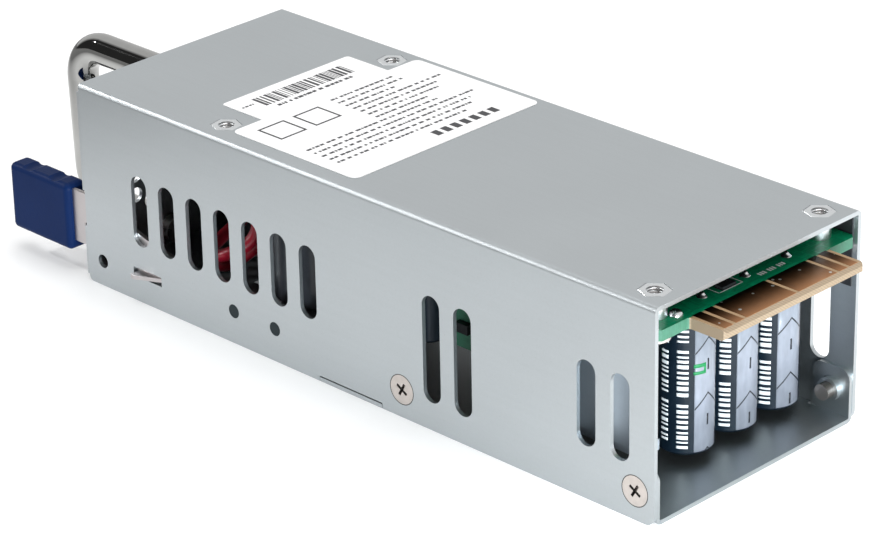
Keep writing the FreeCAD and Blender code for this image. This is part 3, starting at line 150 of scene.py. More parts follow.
class Finish:
    """A material being put together; lengths in it are millimetres."""

    def __init__(self, name, **fixed):
        self.material = bpy.data.materials.new(name)
        self.material.use_nodes = True
        self.tree = self.material.node_tree
        self.shader = self.tree.nodes["Principled BSDF"]
        for key, value in fixed.items():
            self.shader.inputs[socket_name(key)].default_value = value

    def node(self, kind, settings=(), **inputs):
        """Any node: its settings first, then values or links for its sockets."""
        made = self.tree.nodes.new("ShaderNode" + kind)
        for key, value in dict(settings).items():
            setattr(made, key, value)
        for key, value in inputs.items():
            self.feed(made.inputs[key.replace("_", " ")], value)
        return made

    def feed(self, socket, value):
        """A link from a number or another socket, or else a plain value."""
        if isinstance(value, Number):
            self.tree.links.new(value.socket, socket)
        elif isinstance(value, bpy.types.NodeSocket):
            self.tree.links.new(value, socket)
        elif socket.type == "RGBA" and len(value) == 3:
            socket.default_value = (*value, 1)
        else:
            socket.default_value = value

    def place(self, origin=(0, 0, 0), stretch=(1, 1, 1)):
        """Object coordinates in millimetres from an origin, stretched along the axes."""
        coordinates = self.node("TexCoord").outputs["Object"]
        scale = tuple(k / MM for k in stretch)
        shift = tuple(-o * k for o, k in zip(origin, stretch))
        return self.node("Mapping", Vector=coordinates, Scale=scale, Location=shift).outputs[0]

    def axes(self, vector):
        parts = self.node("SeparateXYZ", Vector=vector).outputs
        return [Number(self.tree, part) for part in parts]

    def facing(self):
        """The surface's own normal, as three numbers."""
        return self.axes(self.node("NewGeometry").outputs["Normal"])

    def noise(self, vector, scale, detail=2.0, roughness=0.5):
        made = self.node("TexNoise", Vector=vector, Scale=scale, Detail=detail,
                         Roughness=roughness)
        return Number(self.tree, made.outputs[0])

    def cells(self, vector, scale, metric="EUCLIDEAN"):
        """Distance to the nearest of many scattered points."""
        made = self.node("TexVoronoi", {"distance": metric}, Vector=vector, Scale=scale)
        return Number(self.tree, made.outputs["Distance"])

    def mix(self, factor, first, second, kind="MIX"):
        made = self.tree.nodes.new("ShaderNodeMix")
        made.data_type = "RGBA"
        made.blend_type = kind
        self.feed(made.inputs[MIX_FACTOR], factor)
        self.feed(made.inputs[MIX_FIRST], first)
        self.feed(made.inputs[MIX_SECOND], second)
        return made.outputs[MIX_RESULT]

    def shade(self, colour, level):
        """A colour times a level."""
        grey = self.node("CombineColor", Red=level, Green=level, Blue=level).outputs[0]
        return self.mix(1.0, colour, grey, "MULTIPLY")

    def bump(self, height, distance):
        """Surface relief: the height, 0 to 1, times a distance in millimetres."""
        made = self.node("Bump", Height=height, Distance=distance * MM, Strength=1.0)
        self.feed(self.shader.inputs["Normal"], made.outputs[0])

    def put(self, **channels):
        """Values or links for the shader's own channels."""
        for key, value in channels.items():
            self.feed(self.shader.inputs[socket_name(key)], value)

    def wear(self, *objects):
        """Gives the material to objects in place of what they had."""
        for item in objects:
            item.data.materials.clear()
            item.data.materials.append(self.material)


def dress(finish, *nodes):
    finish.wear(*[NODES[name] for name in nodes])


# --- Meshes ------------------------------------------------------------------


def piece(name, points, faces, body="root", smooth=True):
    """A mesh object from points in millimetres and faces, riding on a body."""
    mesh = bpy.data.meshes.new(name)
    points = np.asarray(points, dtype=float).reshape(-1, 3) * MM
    mesh.from_pydata(points.tolist(), [], [tuple(face) for face in np.asarray(faces).tolist()])
    mesh.polygons.foreach_set("use_smooth", np.full(len(mesh.polygons), smooth))
    mesh.validate()
    made = bpy.data.objects.new(name, mesh)
    bpy.context.scene.collection.objects.link(made)
    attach(made, body)
    return made


def grid_faces(rows, columns, close_columns=False):
    """Four-cornered faces over a grid of points, wrapped round where it closes."""
    r = np.arange(rows - 1)
    c = np.arange(columns if close_columns else columns - 1)
    r, c = np.meshgrid(r, c, indexing="ij")
    r, c = r.ravel(), c.ravel()
    r2, c2 = r + 1, (c + 1) % columns
    corners = [r * columns + c, r2 * columns + c, r2 * columns + c2, r * columns + c2]
    return np.stack(corners, axis=1)


# The corners of a box's six faces: 0 to 3 round its foot, 4 to 7 round its top.
BOX_FACES = ((3, 2, 1, 0), (4, 5, 6, 7), (0, 1, 5, 4), (1, 2, 6, 5), (2, 3, 7, 6), (3, 0, 4, 7))
BOX_CORNERS = 8


def tiles(spans, low, high):
    """Thin boxes (x0, x1, y0, y1) between two heights: eight corners and six faces each."""
    spans = np.asarray(spans, dtype=float)
    x0, x1, y0, y1 = spans.T
    corners = [(x0, y0), (x1, y0), (x1, y1), (x0, y1)]
    layers = []
    for level in (low, high):
        for x, y in corners:
            layers.append(np.stack([x, y, np.full(len(x), level)], axis=1))
    points = np.stack(layers, axis=1)
    start = BOX_CORNERS * np.arange(len(spans))
    faces = (np.array(BOX_FACES)[None] + start[:, None, None]).reshape(-1, 4)
    return points.reshape(-1, 3), faces


def turned(profile, centre, count):
    """A profile (radius, height) turned round a vertical axis: radius times cosine and sine."""
    profile = np.asarray(profile, dtype=float)
    angle = np.linspace(0, 2 * math.pi, count, endpoint=False)
    radius, height = profile[:, 0][:, None], profile[:, 1][:, None]
    x = centre[0] + radius * np.cos(angle)
    y = centre[1] + radius * np.sin(angle)
    z = centre[2] + height + 0 * angle
    points = np.stack([x, y, z], axis=-1)
    return points.reshape(-1, 3), grid_faces(len(profile), count, close_columns=True)


def gathered(parts):
    """Several (points, faces) as one."""
    points, faces, start = [], [], 0
    for some_points, some_faces in parts:
        points.append(some_points)
        faces.append(np.asarray(some_faces) + start)
        start += len(some_points)
    return np.concatenate(points), np.concatenate(faces)


def tube_along(path, radius, sides):
    """A round open tube along a path: each ring stands across the path's own direction."""
    ahead = np.roll(path, -1, axis=0) - np.roll(path, 1, axis=0)
    ahead[0], ahead[-1] = path[1] - path[0], path[-1] - path[-2]
    ahead /= np.linalg.norm(ahead, axis=1, keepdims=True)
    reference = np.roll(ahead, -1, axis=0) - np.roll(ahead, 1, axis=0)
    reference[0], reference[-1] = reference[1], reference[-2]
    side = np.cross(ahead, reference)
    side /= np.maximum(np.linalg.norm(side, axis=1, keepdims=True), 1e-9)
    other = np.cross(ahead, side)
    angle = np.linspace(0, 2 * math.pi, sides, endpoint=False)
    rings = (path[:, None] + radius * (np.cos(angle)[None, :, None] * other[:, None]
                                       + np.sin(angle)[None, :, None] * side[:, None]))
    return rings.reshape(-1, 3), grid_faces(len(path), sides, close_columns=True)


def on_can(centre, radius, angle, height):
    """Points on an upright cylinder from angles and heights."""
    x, y = centre[0] + radius * np.cos(angle), centre[1] + radius * np.sin(angle)
    return np.stack([x, y, height], axis=-1)


# How far a sheet on a can reaches below the can's skin, so that no gap shows, in millimetres.
SHEET_ROOT = 0.01


def can_patch(centre, radius, thickness, angle_from, angle_to, low, high, columns):
    """A curved sheet on a cylinder: two concentric grids joined round their rim."""
    angle = np.linspace(angle_from, angle_to, columns)
    height = np.array([low, high])
    a, h = np.meshgrid(angle, height, indexing="ij")
    outer = on_can(centre, radius + thickness, a, h).reshape(-1, 3)
    inner = on_can(centre, radius - SHEET_ROOT, a, h).reshape(-1, 3)
    skin = grid_faces(columns, 2)
    count = len(outer)
    rim = []
    loop = [2 * i for i in range(columns)] + [2 * i + 1 for i in reversed(range(columns))]
    for i, first in enumerate(loop):
        second = loop[(i + 1) % len(loop)]
        rim.append((first, first + count, second + count, second))
    faces = np.concatenate([skin, skin[:, ::-1] + count, np.array(rim)])
    return np.concatenate([outer, inner]), faces


# --- Settings a user may change -----------------------------------------------


def colour(name, description, value):
    return FloatVectorProperty(name=name, description=description, subtype="COLOR", size=3,
                               min=0, max=1, default=value)


def length(name, description, value):
    """A length setting in millimetres."""
    return FloatProperty(name=name, description=description, default=value, min=0.01, soft_max=60)


def whole(name, description, value, least):
    return IntProperty(name=name, description=description, default=value, min=least)


class SupplyColours(bpy.types.PropertyGroup):
    """Colours of the main finishes"""

    casing: colour("Casing", "Galvanised sheet", (0.475, 0.505, 0.52))
    grip: colour("Grip", "Moulded latch grip", (0.004, 0.016, 0.070))
    mask: colour("Solder mask", "Coating of the board", (0.0, 0.29, 0.125))
    edge: colour("Board edge", "Cut edge of the coated board", (0.045, 0.16, 0.10))
    laminate: colour("Laminate", "Bare laminate between the pads", (0.47, 0.31, 0.17))
    glass: colour("Glass", "Cut edge and bevel of the tongue", (0.30, 0.22, 0.145))
    pads: colour("Pads", "Plated contact pads", (0.45, 0.21, 0.09))
    sleeve: colour("Sleeve", "Capacitor sleeve", (0.004, 0.010, 0.018))
    stripe: colour("Stripe", "Polarity stripe of a capacitor", (0.25, 0.265, 0.31))
    wires: colour("Line wires", "Insulation of the two line wires", (0.36, 0.008, 0.025))
    label: colour("Label", "Coated paper", (0.95, 0.95, 0.95))
    ink: colour("Ink", "Printing on the label", (0.05, 0.05, 0.055))


class SupplySizes(bpy.types.PropertyGroup):
    """Sizes of the printing and the windings"""

    print_thickness: length("Print thickness", "Ink above the surface, mm", 0.015)
    stripe_half_angle: FloatProperty(
        name="Stripe half angle", description="Half the polarity stripe's width",
        default=math.radians(31), subtype="ANGLE", unit="ROTATION")
    mark_pitch: length("Mark pitch", "Distance between the marks on a stripe, mm", 10.4)
    choke_wire: length("Choke wire", "Radius of the output choke's wire, mm", 0.52)
    choke_turns: whole("Choke turns", "Turns on the output choke", 22, 4)
    filter_wire: length("Filter wire", "Radius of the mains choke's wire, mm", 0.42)
    filter_turns: whole("Filter turns", "Turns on each mains winding", 11, 3)


# --- Finishes -------------------------------------------------------------------


def galvanised(name, base, roughness=0.42, tint=1.0):
    """Zinc-coated sheet: faint speckle, broad clouding, rolling streaks and fine pits."""
    made = Finish(name, metallic=1.0)
    spot = made.place()
    fine = made.noise(spot, 1.9, 4, 0.7)
    cloud = made.noise(spot, 0.045, 3)
    streaks = made.noise(made.place(stretch=(0.06, 1.4, 1.4)), 1.0, 3)
    pits = made.noise(spot, 3.6, 2).step(0.28, 0.06)
    level = (fine - 0.5) * 0.14 + (cloud - 0.5) * 0.06 + (streaks - 0.5) * 0.05
    level = (level + 1.0) * (pits * 0.10 + 0.90) * tint
    made.put(base_color=made.shade(base, level))
    made.put(roughness=(roughness + (fine - 0.5) * 0.16 + (cloud - 0.5) * 0.05).clamped())
    made.bump(fine * 0.7 + streaks * 0.3, 0.012)
    return made


def plated(name, base, roughness, streak=(1, 1, 1)):
    """Plated steel: a bright even skin with fine drawn lines."""
    made = Finish(name, metallic=1.0)
    lines = made.noise(made.place(stretch=streak), 2.4, 3)
    smudge = made.noise(made.place(), 0.5, 2)
    made.put(base_color=made.shade(base, (lines - 0.5) * 0.12 + 1.0))
    made.put(roughness=(roughness + (smudge - 0.5) * 0.10 + (lines - 0.5) * 0.08).clamped())
    made.bump(lines, 0.008)
    return made


def moulded(name, base, roughness=0.5, grain=2.2, relief=0.02, sheen=0.2):
    """Moulded plastic: one colour with a spark-eroded grain."""
    made = Finish(name, specular_ior_level=sheen)
    spot = made.place()
    texture = made.noise(spot, grain, 3)
    cloud = made.noise(spot, 0.12, 2)
    made.put(base_color=made.shade(base, (cloud - 0.5) * 0.22 + (texture - 0.5) * 0.10 + 1.0))
    made.put(roughness=(roughness + (texture - 0.5) * 0.18).clamped())
    made.bump(texture, relief)
    return made


def insulated(name, base):
    """Extruded insulation: smooth, slightly waxy, with a faint scuff."""
    made = Finish(name, coat_weight=0.25)
    scuff = made.noise(made.place(), 0.6, 3)
    made.put(base_color=made.shade(base, scuff * 0.5 + 0.75), roughness=scuff * 0.2 + 0.28)
    made.bump(scuff, 0.02)
    return made


def sintered(name, base):
    """Ferrite or ceramic: matt, with fine dark pores."""
    made = Finish(name)
    grit = made.noise(made.place(), 2.8, 4, 0.7)
    made.put(base_color=made.shade(base, grit * 0.8 + 0.6), roughness=grit * 0.25 + 0.5)
    made.bump(grit, 0.04)
    return made


def solder_masked(name, colours, tongue_from, bevel_from):
    """Board: tracks under the mask, glass laminate at its cut edges and on the bare tongue."""
    made = Finish(name)
    spot = made.place()
    x, y, z = made.axes(spot)
    ahead, _, up = made.facing()
    cell = made.cells(spot, 0.42, "CHEBYCHEV")
    tracks = (cell.band(0.30, 0.44, 0.04) + (cell > 0.62)).clamped()
    weave = x.wave(0.55) * y.wave(0.55)
    cloud = made.noise(spot, 0.3, 2)
    mask = made.shade(tuple(colours.mask), tracks * 0.25 + cloud * 0.3 + 0.72)
    bare = made.shade(tuple(colours.laminate), weave * 0.16 + cloud * 0.2 + 0.82)
    tongue = x.step(tongue_from, 0.12)
    bevel = x.step(bevel_from, 0.05)
    ribs = (y + z * 1.2 + cloud * 0.3).wave(0.7) * abs(ahead).step(0.4, 0.1)
    glass = made.shade(tuple(colours.glass), ribs * 0.20 + 0.80)
    stripes = made.noise(made.place(stretch=(0.4, 3.0, 1.0)), 1.0, 2)
    edge = made.mix(tongue, made.shade(tuple(colours.edge), stripes * 0.4 + 0.8), glass)
    skin = made.mix(bevel, made.mix(tongue, mask, bare), glass)
    side = 1 - abs(up).step(0.5, 0.1)
    made.put(base_color=made.mix(side, skin, edge))
    made.put(roughness=(side * 0.25 + tongue * 0.15 + 0.30 + cloud * 0.06))
    made.bump(tracks * (1 - tongue) * 0.5 + weave * 0.3 + ribs * bevel * 0.3, 0.03)
    return made


def gilded(name, base, from_x, to_x):
    """Gold over nickel, with painted shade that darkens the pads towards the back, where they run
    under the casing.
    """
    made = Finish(name, metallic=1.0)
    spot = made.place()
    x = made.axes(spot)[0]
    along = ((x - from_x) / (to_x - from_x)).clamped()
    rub = made.noise(made.place(stretch=(0.5, 4.0, 1.0)), 1.0, 3)
    # Painted shade: the gold fades almost to black towards the back, under the casing's lip. The
    # rub noise is real wear.
    painted_shade_and_rub = made.shade(base, along ** 1.3 * 1.1 + 0.02 + (rub - 0.5) * 0.12)
    pinholes = made.cells(made.place(), 0.40).step(0.12, 0.02)
    nickel = (0.8, 0.8, 0.75)
    made.put(base_color=made.mix(pinholes, nickel, painted_shade_and_rub), roughness=rub * 0.2 + 0.26)
    made.bump(rub, 0.006)
    return made


def sleeve_finish(name, base):
    """Shrunk sleeve: satin, faintly rippled."""
    made = Finish(name, coat_weight=0.10, specular_ior_level=0.3)
    ripple = made.noise(made.place(stretch=(1, 1, 0.35)), 0.8, 2)
    made.put(base_color=made.shade(base, ripple * 0.6 + 0.7), roughness=ripple * 0.14 + 0.26)
    made.bump(ripple, 0.05)
    return made


def ink_finish(name, base, roughness=0.6):
    """Printing: nearly flat, a little broken at its edges."""
    made = Finish(name)
    patchy = made.noise(made.place(), 4.0, 2)
    made.put(base_color=made.shade(base, patchy * 0.4 + 0.8), roughness=patchy * 0.1 + roughness)
    return made


def enamelled(name, base):
    """Enamelled copper wire: a varnished metal."""
    made = Finish(name, coat_weight=0.6)
    varnish = made.noise(made.place(), 0.9, 3)
    made.put(base_color=made.shade(base, varnish * 0.7 + 0.62), roughness=varnish * 0.2 + 0.24)
    made.put(metallic=varnish * 0.2 + 0.7)
    made.bump(varnish, 0.01)
    return made


# --- Operators --------------------------------------------------------------------


class SUPPLY_OT_casing(bpy.types.Operator):
    """Finish the shell and the tray"""

    bl_idname = "supply.casing"
    bl_label = "Casing"

    def execute(self, context):
        base = tuple(context.scene.supply_colours.casing)
        dress(galvanised("galvanised_shell", base), "chassis_shell")
        dress(galvanised("galvanised_tray", base, 0.40, 0.97), "cover_tray")
        return {"FINISHED"}


class SUPPLY_OT_fasteners(bpy.types.Operator):
    """Finish screws, standoffs and rivets"""

    bl_idname = "supply.fasteners"
    bl_label = "Fasteners"

    def execute(self, context):
        nickel = plated("nickel_screw", (0.66, 0.60, 0.57), 0.30)
        dress(nickel, "handle_screws", "board_screws", "fan_screws", "earth_screw")
        dress(self.recessed("cover_nickel", (0.60, 0.545, 0.51)), "cover_screws")
        # A dark ring of painted shade round each cover screw's head, where the seam is.
        ink_finish("head_gap_painted_shade", (0.04, 0.038, 0.036)).wear(self.painted_shade_rings())
        tinned = plated("tinned_standoff", (0.70, 0.72, 0.73), 0.30)
        dress(tinned, "board_standoffs", "earth_lug")
        # The thread crests are real, but their metal is a brighter, smoother copy of the
        # standoff's: a painted highlight.
        plated("thread_painted_highlight", (0.93, 0.94, 0.95), 0.22).wear(self.threads())
        # The rivets are near black: painted shade standing in for the dark holes that they sit in.
        dress(plated("dark_rivet_painted_shade", (0.035, 0.045, 0.05), 0.55), "latch_rivets")
        return {"FINISHED"}

    def recessed(self, name, base):
        """Nickel with painted shade: darker where the skin turns off the wall's plane, on the rim
        and in the cross.
        """
        made = plated(name, base, 0.42)
        flat = abs(made.facing()[1]).step(0.80, 0.20)
        smudge = made.noise(made.place(), 0.7, 2)
        # Painted shade on the faces that turn away from the wall's plane. The smudge is real tone.
        made.put(base_color=made.shade(base, (flat * 0.65 + 0.35) * (smudge * 0.3 + 0.85)))
        return made

    def painted_shade_rings(self):
        """Painted shade in the seams round the flat heads: a dark flat ring about each head's
        centre, proud of the wall.
        """
        proud, within, beyond, count = 0.012, 0.04, 0.13, 48
        rim_depth, head_gap = 0.05, 3.0
        node = NODES["cover_screws"]
        world = np.array(node.matrix_world)
        points = np.array([vertex.co[:] for vertex in node.data.vertices])
        points = (points @ world[:3, :3].T + world[:3, 3]) / MM
        turn = np.linspace(0, 2 * math.pi, count, endpoint=False)
        rings = []
        for side in (-1, 1):
            face = (points[:, 1] * side).max()
            level = np.full(count, side * (face + proud))
            rim = points[points[:, 1] * side > face - rim_depth]
            rim = rim[np.argsort(rim[:, 0])]
            for head in np.split(rim, np.where(np.diff(rim[:, 0]) > head_gap)[0] + 1):
                x, _, z = (head.min(axis=0) + head.max(axis=0)) / 2
                head_radius = np.ptp(head[:, 0]) / 2
                rows = [np.stack([x + r * np.cos(turn), level, z + r * np.sin(turn)], axis=1)
                        for r in (head_radius - within, head_radius + beyond)]
                rings.append((np.concatenate(rows), grid_faces(2, count, close_columns=True)))
        return piece("head_gap_painted_shade_rings", *gathered(rings), smooth=False)

    def threads(self):
        """Thread crests in the standoffs: a helix in each.

        Its radius is the bore's and its height is pitch times turns.
        """
        low, high = box("board_standoffs")
        inset_x, inset_y, radius, pitch, turns = 2.77, 2.9, 1.46, 0.5, 2.6
        below_top, crest = 0.25, 0.13
        turn = 2 * math.pi * np.linspace(0, turns, 84)
        height = high[2] - below_top - pitch * turn / (2 * math.pi)
        rings = []
        for x in (low[0] + inset_x, high[0] - inset_x):
            for y in (low[1] + inset_y, high[1] - inset_y):
                path = [x + radius * np.cos(turn), y + radius * np.sin(turn), height]
                rings.append(tube_along(np.stack(path, axis=1), crest, 6))
        return piece("standoff_threads", *gathered(rings))


class SUPPLY_OT_handle(bpy.types.Operator):
    """Finish the handle's bright bar"""

    bl_idname = "supply.handle"
    bl_label = "Handle"

    def execute(self, context):
        made = Finish("bright_bar", metallic=1.0)
        smear = made.noise(made.place(), 0.35, 3)
        made.put(base_color=made.shade((0.39, 0.39, 0.38), smear * 0.20 + 0.90))
        made.put(roughness=smear * 0.03 + 0.02)
        made.bump(smear, 0.01)
        dress(made, "handle_bar")
        return {"FINISHED"}


class SUPPLY_OT_latch(bpy.types.Operator):
    """Finish the spring strip and its grip"""

    bl_idname = "supply.latch"
    bl_label = "Latch"

    def execute(self, context):
        strip = plated("spring_strip", (0.50, 0.47, 0.47), 0.34, (0.2, 2.0, 2.0))
        dress(strip, "latch_foot", "latch_arm")
        grip = moulded("grip", tuple(context.scene.supply_colours.grip), 0.42, 1.6, 0.02, 0.06)
        dress(grip, "latch_grip")
        return {"FINISHED"}


# A solder fillet's radius and height, from the board up to the lead's tip.
FILLET = (
    (0.98, -0.02), (0.92, 0.06), (0.74, 0.20), (0.56, 0.40),
    (0.44, 0.58), (0.36, 0.72), (0.22, 0.80), (0.001, 0.83),
)


class SUPPLY_OT_board(bpy.types.Operator):
    """Finish the boards and pads, print the board and form its solder joints"""

    bl_idname = "supply.board"
    bl_label = "Board"

    def execute(self, context):
        colours = context.scene.supply_colours
        top = box("main_board")[1][2]
        pads_low, pads_high = box("contact_pads")
        mask = solder_masked("solder_mask", colours, pads_low[0] + 0.2, pads_high[0])
        dress(mask, "main_board", "control_board")
        dress(gilded("gilded_pad", tuple(colours.pads), pads_low[0], pads_high[0]), "contact_pads")
        chip_black = moulded("chip_black", (0.02, 0.02, 0.022), 0.4, 3.0, 0.01)
        dress(chip_black, "surface_parts", "control_chips")
        self.print_board(context, pads_low[0], top)
        self.solder(pads_low[0], top)
        return {"FINISHED"}

    def print_board(self, context, front, top):
        """White ident printing: part outlines and a row of short dashes."""
        thickness = context.scene.supply_sizes.print_thickness
        line, dash, dash_pitch = 0.20, 0.4, 0.62
        outlines = ((front - 5.2, front - 2.2, -7.7, -1.6), (front - 9.2, front - 7.0, 2.0, 7.6))
        spans = []
        for x0, x1, y0, y1 in outlines:
            spans += [(x0, x0 + line, y0, y1), (x1 - line, x1, y0, y1),
                      (x0, x1, y0, y0 + line), (x0, x1, y1 - line, y1)]
        for first in (2.2, 4.6, 7.0):
            for i in range(3):
                start = first + dash_pitch * i
                spans.append((front - 2.6, front - 1.6, start, start + dash))
        points, faces = tiles(spans, top, top + thickness)
        printing = piece("board_printing", points, faces, smooth=False)
        ink_finish("white_ink", (0.95, 0.96, 0.94)).wear(printing)

    def solder(self, front, top):
        """Solder fillets: a profile that sweeps up from the board to the lead, turned round it."""
        places = [(front - 3.7, -10.35), (front - 3.7, 0.55), (front - 3.6, 11.05)]
        ball_radius, ball_height, lead = 1.25, 1.05, 2.5
        ball = [(ball_radius * math.cos(t), ball_height * math.sin(t))
                for t in np.linspace(-0.02, 1.57, 9)]
        parts = [turned(ball, (front - 2.2, -18.5, top), 24)]
        for name in ("output_capacitor_1", "output_capacitor_2", "output_capacitor_3"):
            centre = middle(name)
            places += [(centre[0], centre[1] - lead), (centre[0], centre[1] + lead)]
        for x, y in places:
            parts.append(turned(FILLET, (x, y, top), 20))
        points, faces = gathered(parts)
        joints = piece("solder_fillets", points, faces)
        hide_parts("solder_joints")
        plated("solder", (0.78, 0.79, 0.80), 0.18).wear(joints)


# Each output can, its stripe's direction in degrees and its lowest arrow peak above the edge.
CANS = (
    ("output_capacitor_1", -1, 0.55), ("output_capacitor_2", -3, 7.0),
    ("output_capacitor_3", -7, 6.6), ("output_capacitor_4", 60, 5.0),
)
OTHER_CANS = (("bulk_capacitor", 110, 6.0), ("aux_capacitor", 100, 5.0))
MARK = 0.01                    # thickness of an arrow head, a minus bar or the tick


class SUPPLY_OT_capacitors(bpy.types.Operator):
    """Sleeve the capacitors and print their stripes, polarity marks and plain bars"""

    bl_idname = "supply.capacitors"
    bl_label = "Capacitors"

    def execute(self, context):
        colours = context.scene.supply_colours
        sizes = context.scene.supply_sizes
        sleeve = sleeve_finish("sleeve", tuple(colours.sleeve))
        dress(sleeve, *[name for name, _, _ in CANS], "aux_capacitor")
        dress(sleeve_finish("bulk_sleeve", (0.035, 0.038, 0.045)), "bulk_capacitor")
        stripe = sleeve_finish("stripe", tuple(colours.stripe))
        black = ink_finish("sleeve_black", (0.01, 0.012, 0.018), 0.35)
        white = ink_finish("sleeve_white", (0.80, 0.82, 0.84), 0.4)
        for name, degrees, peak in CANS + OTHER_CANS:
            turn = math.radians(degrees)
            self.print_stripe(name, turn, peak, sizes, stripe, black)
            if name.startswith("output"):
                self.print_bars(name, turn, white)
        self.tick("output_capacitor_1", math.radians(-1), sizes)
        return {"FINISHED"}

    def tick(self, name, turn, sizes):
        """A felt-pen tick across the stripe: two strokes round the can and one that joins them."""
        centre, radius, low, _ = self.can(name)
        raised = radius + sizes.print_thickness + MARK
        strokes = []
        for start, end, foot, head in ((-33, -6, 15.9, 16.6), (-33, -6, 14.6, 15.2),
                                       (-11, -6, 14.9, 16.4)):
            first, last = turn + math.radians(start), turn + math.radians(end)
            span = (first, last, low + foot, low + head)
            strokes.append(can_patch(centre, raised, MARK, *span, 9))
        points, faces = gathered(strokes)
        felt = ink_finish("felt_green", (0.01, 0.22, 0.07), 0.4)
        felt.wear(piece(name + "_tick", points, faces))

    def can(self, name):
        """A can's centre and radius, and the heights between which its sleeve is printed."""
        low, high = box(name)
        radius = (high[0] - low[0]) / 2
        foot, groove = 0.6, 4.0
        return (low + high) / 2, radius, low[2] + foot, high[2] - groove

    def print_stripe(self, name, turn, lowest_peak, sizes, stripe, black):
        """The polarity stripe, with an arrow head and a minus bar under it at every pitch."""
        centre, radius, low, high = self.can(name)
        peak = low + lowest_peak
        half = sizes.stripe_half_angle
        span = (turn - half, turn + half, low, high)
        band = can_patch(centre, radius, sizes.print_thickness, *span, 17)
        stripe.wear(piece(name + "_stripe", *band))
        marks = []
        raised = radius + sizes.print_thickness
        bar = 0.19 / radius
        bar_foot, bar_head, shortest = 6.25, 4.15, 0.3
        for height in np.arange(peak, high + 6.0, sizes.mark_pitch):
            marks.append(self.chevron(centre, raised, turn, half * 0.98, height, low, high))
            bottom, top = max(height - bar_foot, low), min(height - bar_head, high)
            if top - bottom > shortest:
                span = (turn - bar, turn + bar, bottom, top)
                marks.append(can_patch(centre, raised, MARK, *span, 3))
        points, faces = gathered(marks)
        black.wear(piece(name + "_marks", points, faces))

    def chevron(self, centre, radius, turn, half, peak, low, high):
        """An arrow head as a ribbon on the can: height falls evenly from its peak both ways."""
        fall, line, count = 2.7, 0.36, 17
        angle = np.linspace(turn - half, turn + half, count)
        height = peak - fall * np.abs(angle - turn) / half
        lower = on_can(centre, radius + MARK, angle, np.clip(height - line, low, high))
        upper = on_can(centre, radius + MARK, angle, np.clip(height, low, high))
        points = np.stack([lower, upper], axis=1).reshape(-1, 3)
        return points, grid_faces(count, 2)

    def print_bars(self, name, turn, white):
        """Columns of plain bars up the can: every bar is a curved sheet.

        A wider gap follows each group of bars.
        """
        centre, radius, low, high = self.can(name)
        thickness, group, group_gap, headroom = 0.02, 9, 1.5, 1.2
        dice = np.random.default_rng(11)
        bars = []
        for offset, reach in ((-43.0, 23.0), (-84.0, 19.0), (150.0, 23.0)):
            first, last = turn + math.radians(offset - reach), turn + math.radians(offset)
            height, count = low + dice.uniform(0.5, 2.5), 0
            while height < high - headroom:
                tall = dice.uniform(0.3, 0.75)
                span = (first, last, height, height + tall)
                bars.append(can_patch(centre, radius, thickness, *span, 7))
                count += 1
                height += tall + (group_gap if count % group == 0 else dice.uniform(0.35, 0.6))
        points, faces = gathered(bars)
        white.wear(piece(name + "_bars", points, faces))


class SUPPLY_OT_magnetics(bpy.types.Operator):
    """Wind the chokes and finish the transformer"""

    bl_idname = "supply.magnetics"
    bl_label = "Magnetics"

    def execute(self, context):
        sizes = context.scene.supply_sizes
        dress(sintered("ferrite", (0.035, 0.036, 0.04)), "transformer_core", "emi_choke_core")
        dress(sintered("powder_core", (0.02, 0.12, 0.08)), "output_choke_core")
        dress(moulded("bobbin", (0.02, 0.02, 0.02)), "transformer_bobbin")
        dress(self.tape(), "transformer_winding")
        copper = enamelled("enamelled_copper", (0.62, 0.22, 0.07))
        core = "output_choke_core"
        wound = self.toroid(core, sizes.choke_wire, sizes.choke_turns, (-70, 250))
        winding = piece("output_choke_turns", *wound)
        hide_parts("output_choke_winding")
        copper.wear(winding)
        core = "emi_choke_core"
        first = self.toroid(core, sizes.filter_wire, sizes.filter_turns, (-60, 60))
        second = self.toroid(core, sizes.filter_wire, sizes.filter_turns, (120, 240))
        winding = piece("emi_choke_turns", *gathered([first, second]))
        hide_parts("emi_choke_windings")
        copper.wear(winding)
        return {"FINISHED"}

    def tape(self):
        """Yellow tape in even laps."""
        made = Finish("polyester_tape", coat_weight=0.4)
        z = made.axes(made.place())[2]
        laps = z.wave(1.1)
        made.put(base_color=made.shade((0.70, 0.48, 0.04), laps * 0.2 + 0.85))
        made.put(roughness=laps * 0.1 + 0.25)
        made.bump(laps, 0.04)
        return made

    def toroid(self, core, wire, turns, span):
        """Wire round a ring core, over a span of it in degrees.

        It goes once round the core's section for each turn while it moves along the ring. The
        power below 1 squares the round path off, so that it follows the section's flat sides.
        """
        low, high = box(core)
        centre = (low + high) / 2
        outer = (high[1] - low[1]) / 2
        inner = outer * (0.52 if core == "output_choke_core" else 0.51)
        half_width = (high[0] - low[0]) / 2
        ring = (outer + inner) / 2
        half_depth = (outer - inner) / 2
        steps_per_turn, power, grow = 28, 0.45, wire * 0.98
        along = np.linspace(0, 1, turns * steps_per_turn)
        round_ring = np.radians(span[0] + (span[1] - span[0]) * along)
        phase = 2 * math.pi * turns * along
        cosine, sine = np.cos(phase), np.sin(phase)
        across = np.sign(cosine) * np.abs(cosine) ** power * (half_width + grow)
        depth = ring + np.sign(sine) * np.abs(sine) ** power * (half_depth + grow)
        x = centre[0] + across
        y = centre[1] + depth * np.cos(round_ring)
        z = centre[2] + depth * np.sin(round_ring)
        path = np.stack([x, y, z], axis=1)
        smooth = (np.roll(path, 1, axis=0) + 2 * path + np.roll(path, -1, axis=0)) / 4
        path[1:-1] = smooth[1:-1]
        return tube_along(path, wire, 8)


